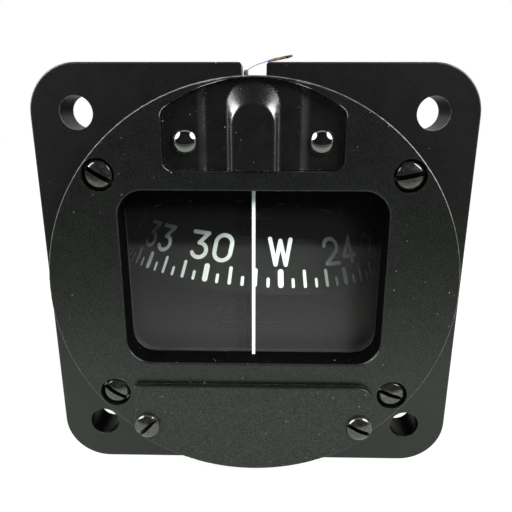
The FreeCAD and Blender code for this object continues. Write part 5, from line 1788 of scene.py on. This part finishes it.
FINISHES: dict[str, Finish] = {
    "black_paint": WornPaint("black_paint"),
    "cover_paint": WornPaint("cover_paint", edge_share=0.5),
    "screw_steel": WornSteel("screw_steel"),
    "stud_enamel": GrainedFinish("stud_enamel", (0.003, 0.003, 0.003), (0.005, 0.005, 0.005), (0.03, 0.06),
                                 specular=1.0, coat=1.0, coat_ior=2.0, grain_strength=0.02),
    # painted light: a pale veil on the lower glass
    "glass": ClearGlass("glass", ior=1.15, dust=(0.002, 0.005), painted_veil=(0.009, 0.018)),
    "rubber": GrainedFinish("rubber", (0.012, 0.012, 0.012), (0.022, 0.021, 0.02), (0.7, 0.85), grain_strength=0.4),
    "white_enamel": GrainedFinish("white_enamel", (0.74, 0.79, 0.76), (0.8, 0.85, 0.82), (0.4, 0.5),
                                  grain_strength=0.08),
    "card_black": GrainedFinish("card_black", (0.002, 0.0022, 0.002), (0.0035, 0.0037, 0.0035), (0.5, 0.65),
                                specular=0.08),
    "magnet_steel": GrainedFinish("magnet_steel", (0.2, 0.2, 0.21), (0.32, 0.32, 0.33), (0.3, 0.45), metallic=1.0,
                                  stretch=(1, 0.2, 1)),
    "brass": GrainedFinish("brass", (0.42, 0.27, 0.09), (0.62, 0.44, 0.18), (0.25, 0.4), metallic=1.0),
    "jewel": GrainedFinish("jewel", (0.2, 0.01, 0.03), (0.32, 0.02, 0.05), (0.06, 0.1), coat=0.5,
                           grain_strength=0.02),
    "hard_steel": GrainedFinish("hard_steel", (0.38, 0.38, 0.39), (0.52, 0.52, 0.53), (0.18, 0.3), metallic=1.0,
                                grain_strength=0.08),
    "bulb_glass": ClearGlass("bulb_glass", (0.03, 0.08)),
    "holder_plastic": GrainedFinish("holder_plastic", (0.02, 0.019, 0.018), (0.035, 0.033, 0.03), (0.4, 0.55)),
    "lead_insulation": GrainedFinish("lead_insulation", (0.02, 0.02, 0.05), (0.05, 0.05, 0.1), (0.4, 0.5)),
}

OWN_FINISHES: dict[str, Finish] = {
    "case": WornPaint("case_paint", holes=BORE_AND_HOLES),
    # the bezel's window wall gets painted shade
    "bezel": WornPaint("bezel_paint", edge_share=0.15, disc_edge=0.2, spots=WINDOW_CORNERS + POCKET_ENDS,
                       window=Opening(24.0, -14.75, 18.5)),
    # painted shade: the bracket and the parts below and behind the card turned near-black
    "jewel_bracket": GrainedFinish("bronze_painted_shade", (0.0017, 0.0016, 0.0014), (0.0024, 0.0022, 0.0019), (0.75, 0.88),
                                   grain_strength=0.1, specular=0.03),
    "card_float": painted_shade_black("float_painted_shade"),
    "card_magnets": painted_shade_black("card_magnet_painted_shade"),
    "card_guard": painted_shade_black("guard_painted_shade"),
    "diaphragm": painted_shade_black("diaphragm_painted_shade"),
    "jewel_bracket_screws": painted_shade_black("bracket_screw_painted_shade"),
}

LAMP_COVER_PAINT = WornPaint("lamp_cover_paint", (0.002, 0.0024, 0.0021), (0.0038, 0.0044, 0.004),
                             roughness=(0.25, 0.33), gloss=(0.5, 0.8), grain_strength=0.09, edge_share=0.22,
                             coat=0.7, painted_sheens=(PaintedSheen(8.8, 1.0, 0.035),))
CLEAR_LIQUID = ClearGlass("clear_liquid", (0.0, 0.01), 1.4, (0.0, 0.001), mirrors=False)

SCREWS = (
    SlottedScrews("bezel_screw_heads", "bezel_screws",
                  (ScrewPlace(-26.9, 21.2, -31), ScrewPlace(26.9, 21.2, 12),
                   ScrewPlace(-26.9, -21.2, -34), ScrewPlace(26.9, -21.2, -19)),
                  seat_y=-3.2, head_radius=2.65, head_height=2.3, shank_radius=1.5, shank_length=9.0),
    SlottedScrews("cover_screw_heads", "compensator_cover_screws",
                  (ScrewPlace(-20.7, -27.6, 45), ScrewPlace(20.7, -27.6, -24)),
                  seat_y=-6.6, head_radius=2.5, head_height=1.4, shank_radius=1.25, shank_length=6.5, edge=0.4),
)

LEFT_LEAD = StrippedLead("lead_left", "lamp_lead_left",
                         ((-0.7, -0.9, 33.0), (-0.7, -0.1, 35.2), (-1.4, 2.4, 37.8), (-1.65, 5.0, 38.6),
                          (-0.1, 7.7, 39.8), (2.8, 9.3, 40.8), (7.0, 9.9, 41.6)))
RIGHT_LEAD = LampLead("lead_right", "lamp_lead_right",
                      ((0.7, -0.9, 33.0), (0.7, -0.1, 35.2), (0.9, 2.2, 37.25), (1.0, 6.0, 37.65),
                       (0.9, 10.6, 37.5), (2.0, 16.0, 37.1), (4.0, 21.2, 36.9), (4.9, 27.0, 36.8),
                       (3.9, 32.6, 36.9)), length=36.28)


def main() -> None:
    """Builds every piece in order."""
    made = Dressing(FINISHES, OWN_FINISHES).dress()
    LampCover().build(LAMP_COVER_PAINT.build())
    CoverStuds().build(made["stud_enamel"])
    CardScale().build(made["white_enamel"])
    for screws in SCREWS:
        screws.build(made["screw_steel"])
    JewelSpring().build(made["hard_steel"])
    LiquidFront().build(CLEAR_LIQUID.build(), InsideLiquid("inside_liquid").build())
    LEFT_LEAD.build(StrippedWire("stripped_wire").build())
    RIGHT_LEAD.build(made["lead_insulation"])
    Studio().build()


if __name__ == "__main__":
    main()
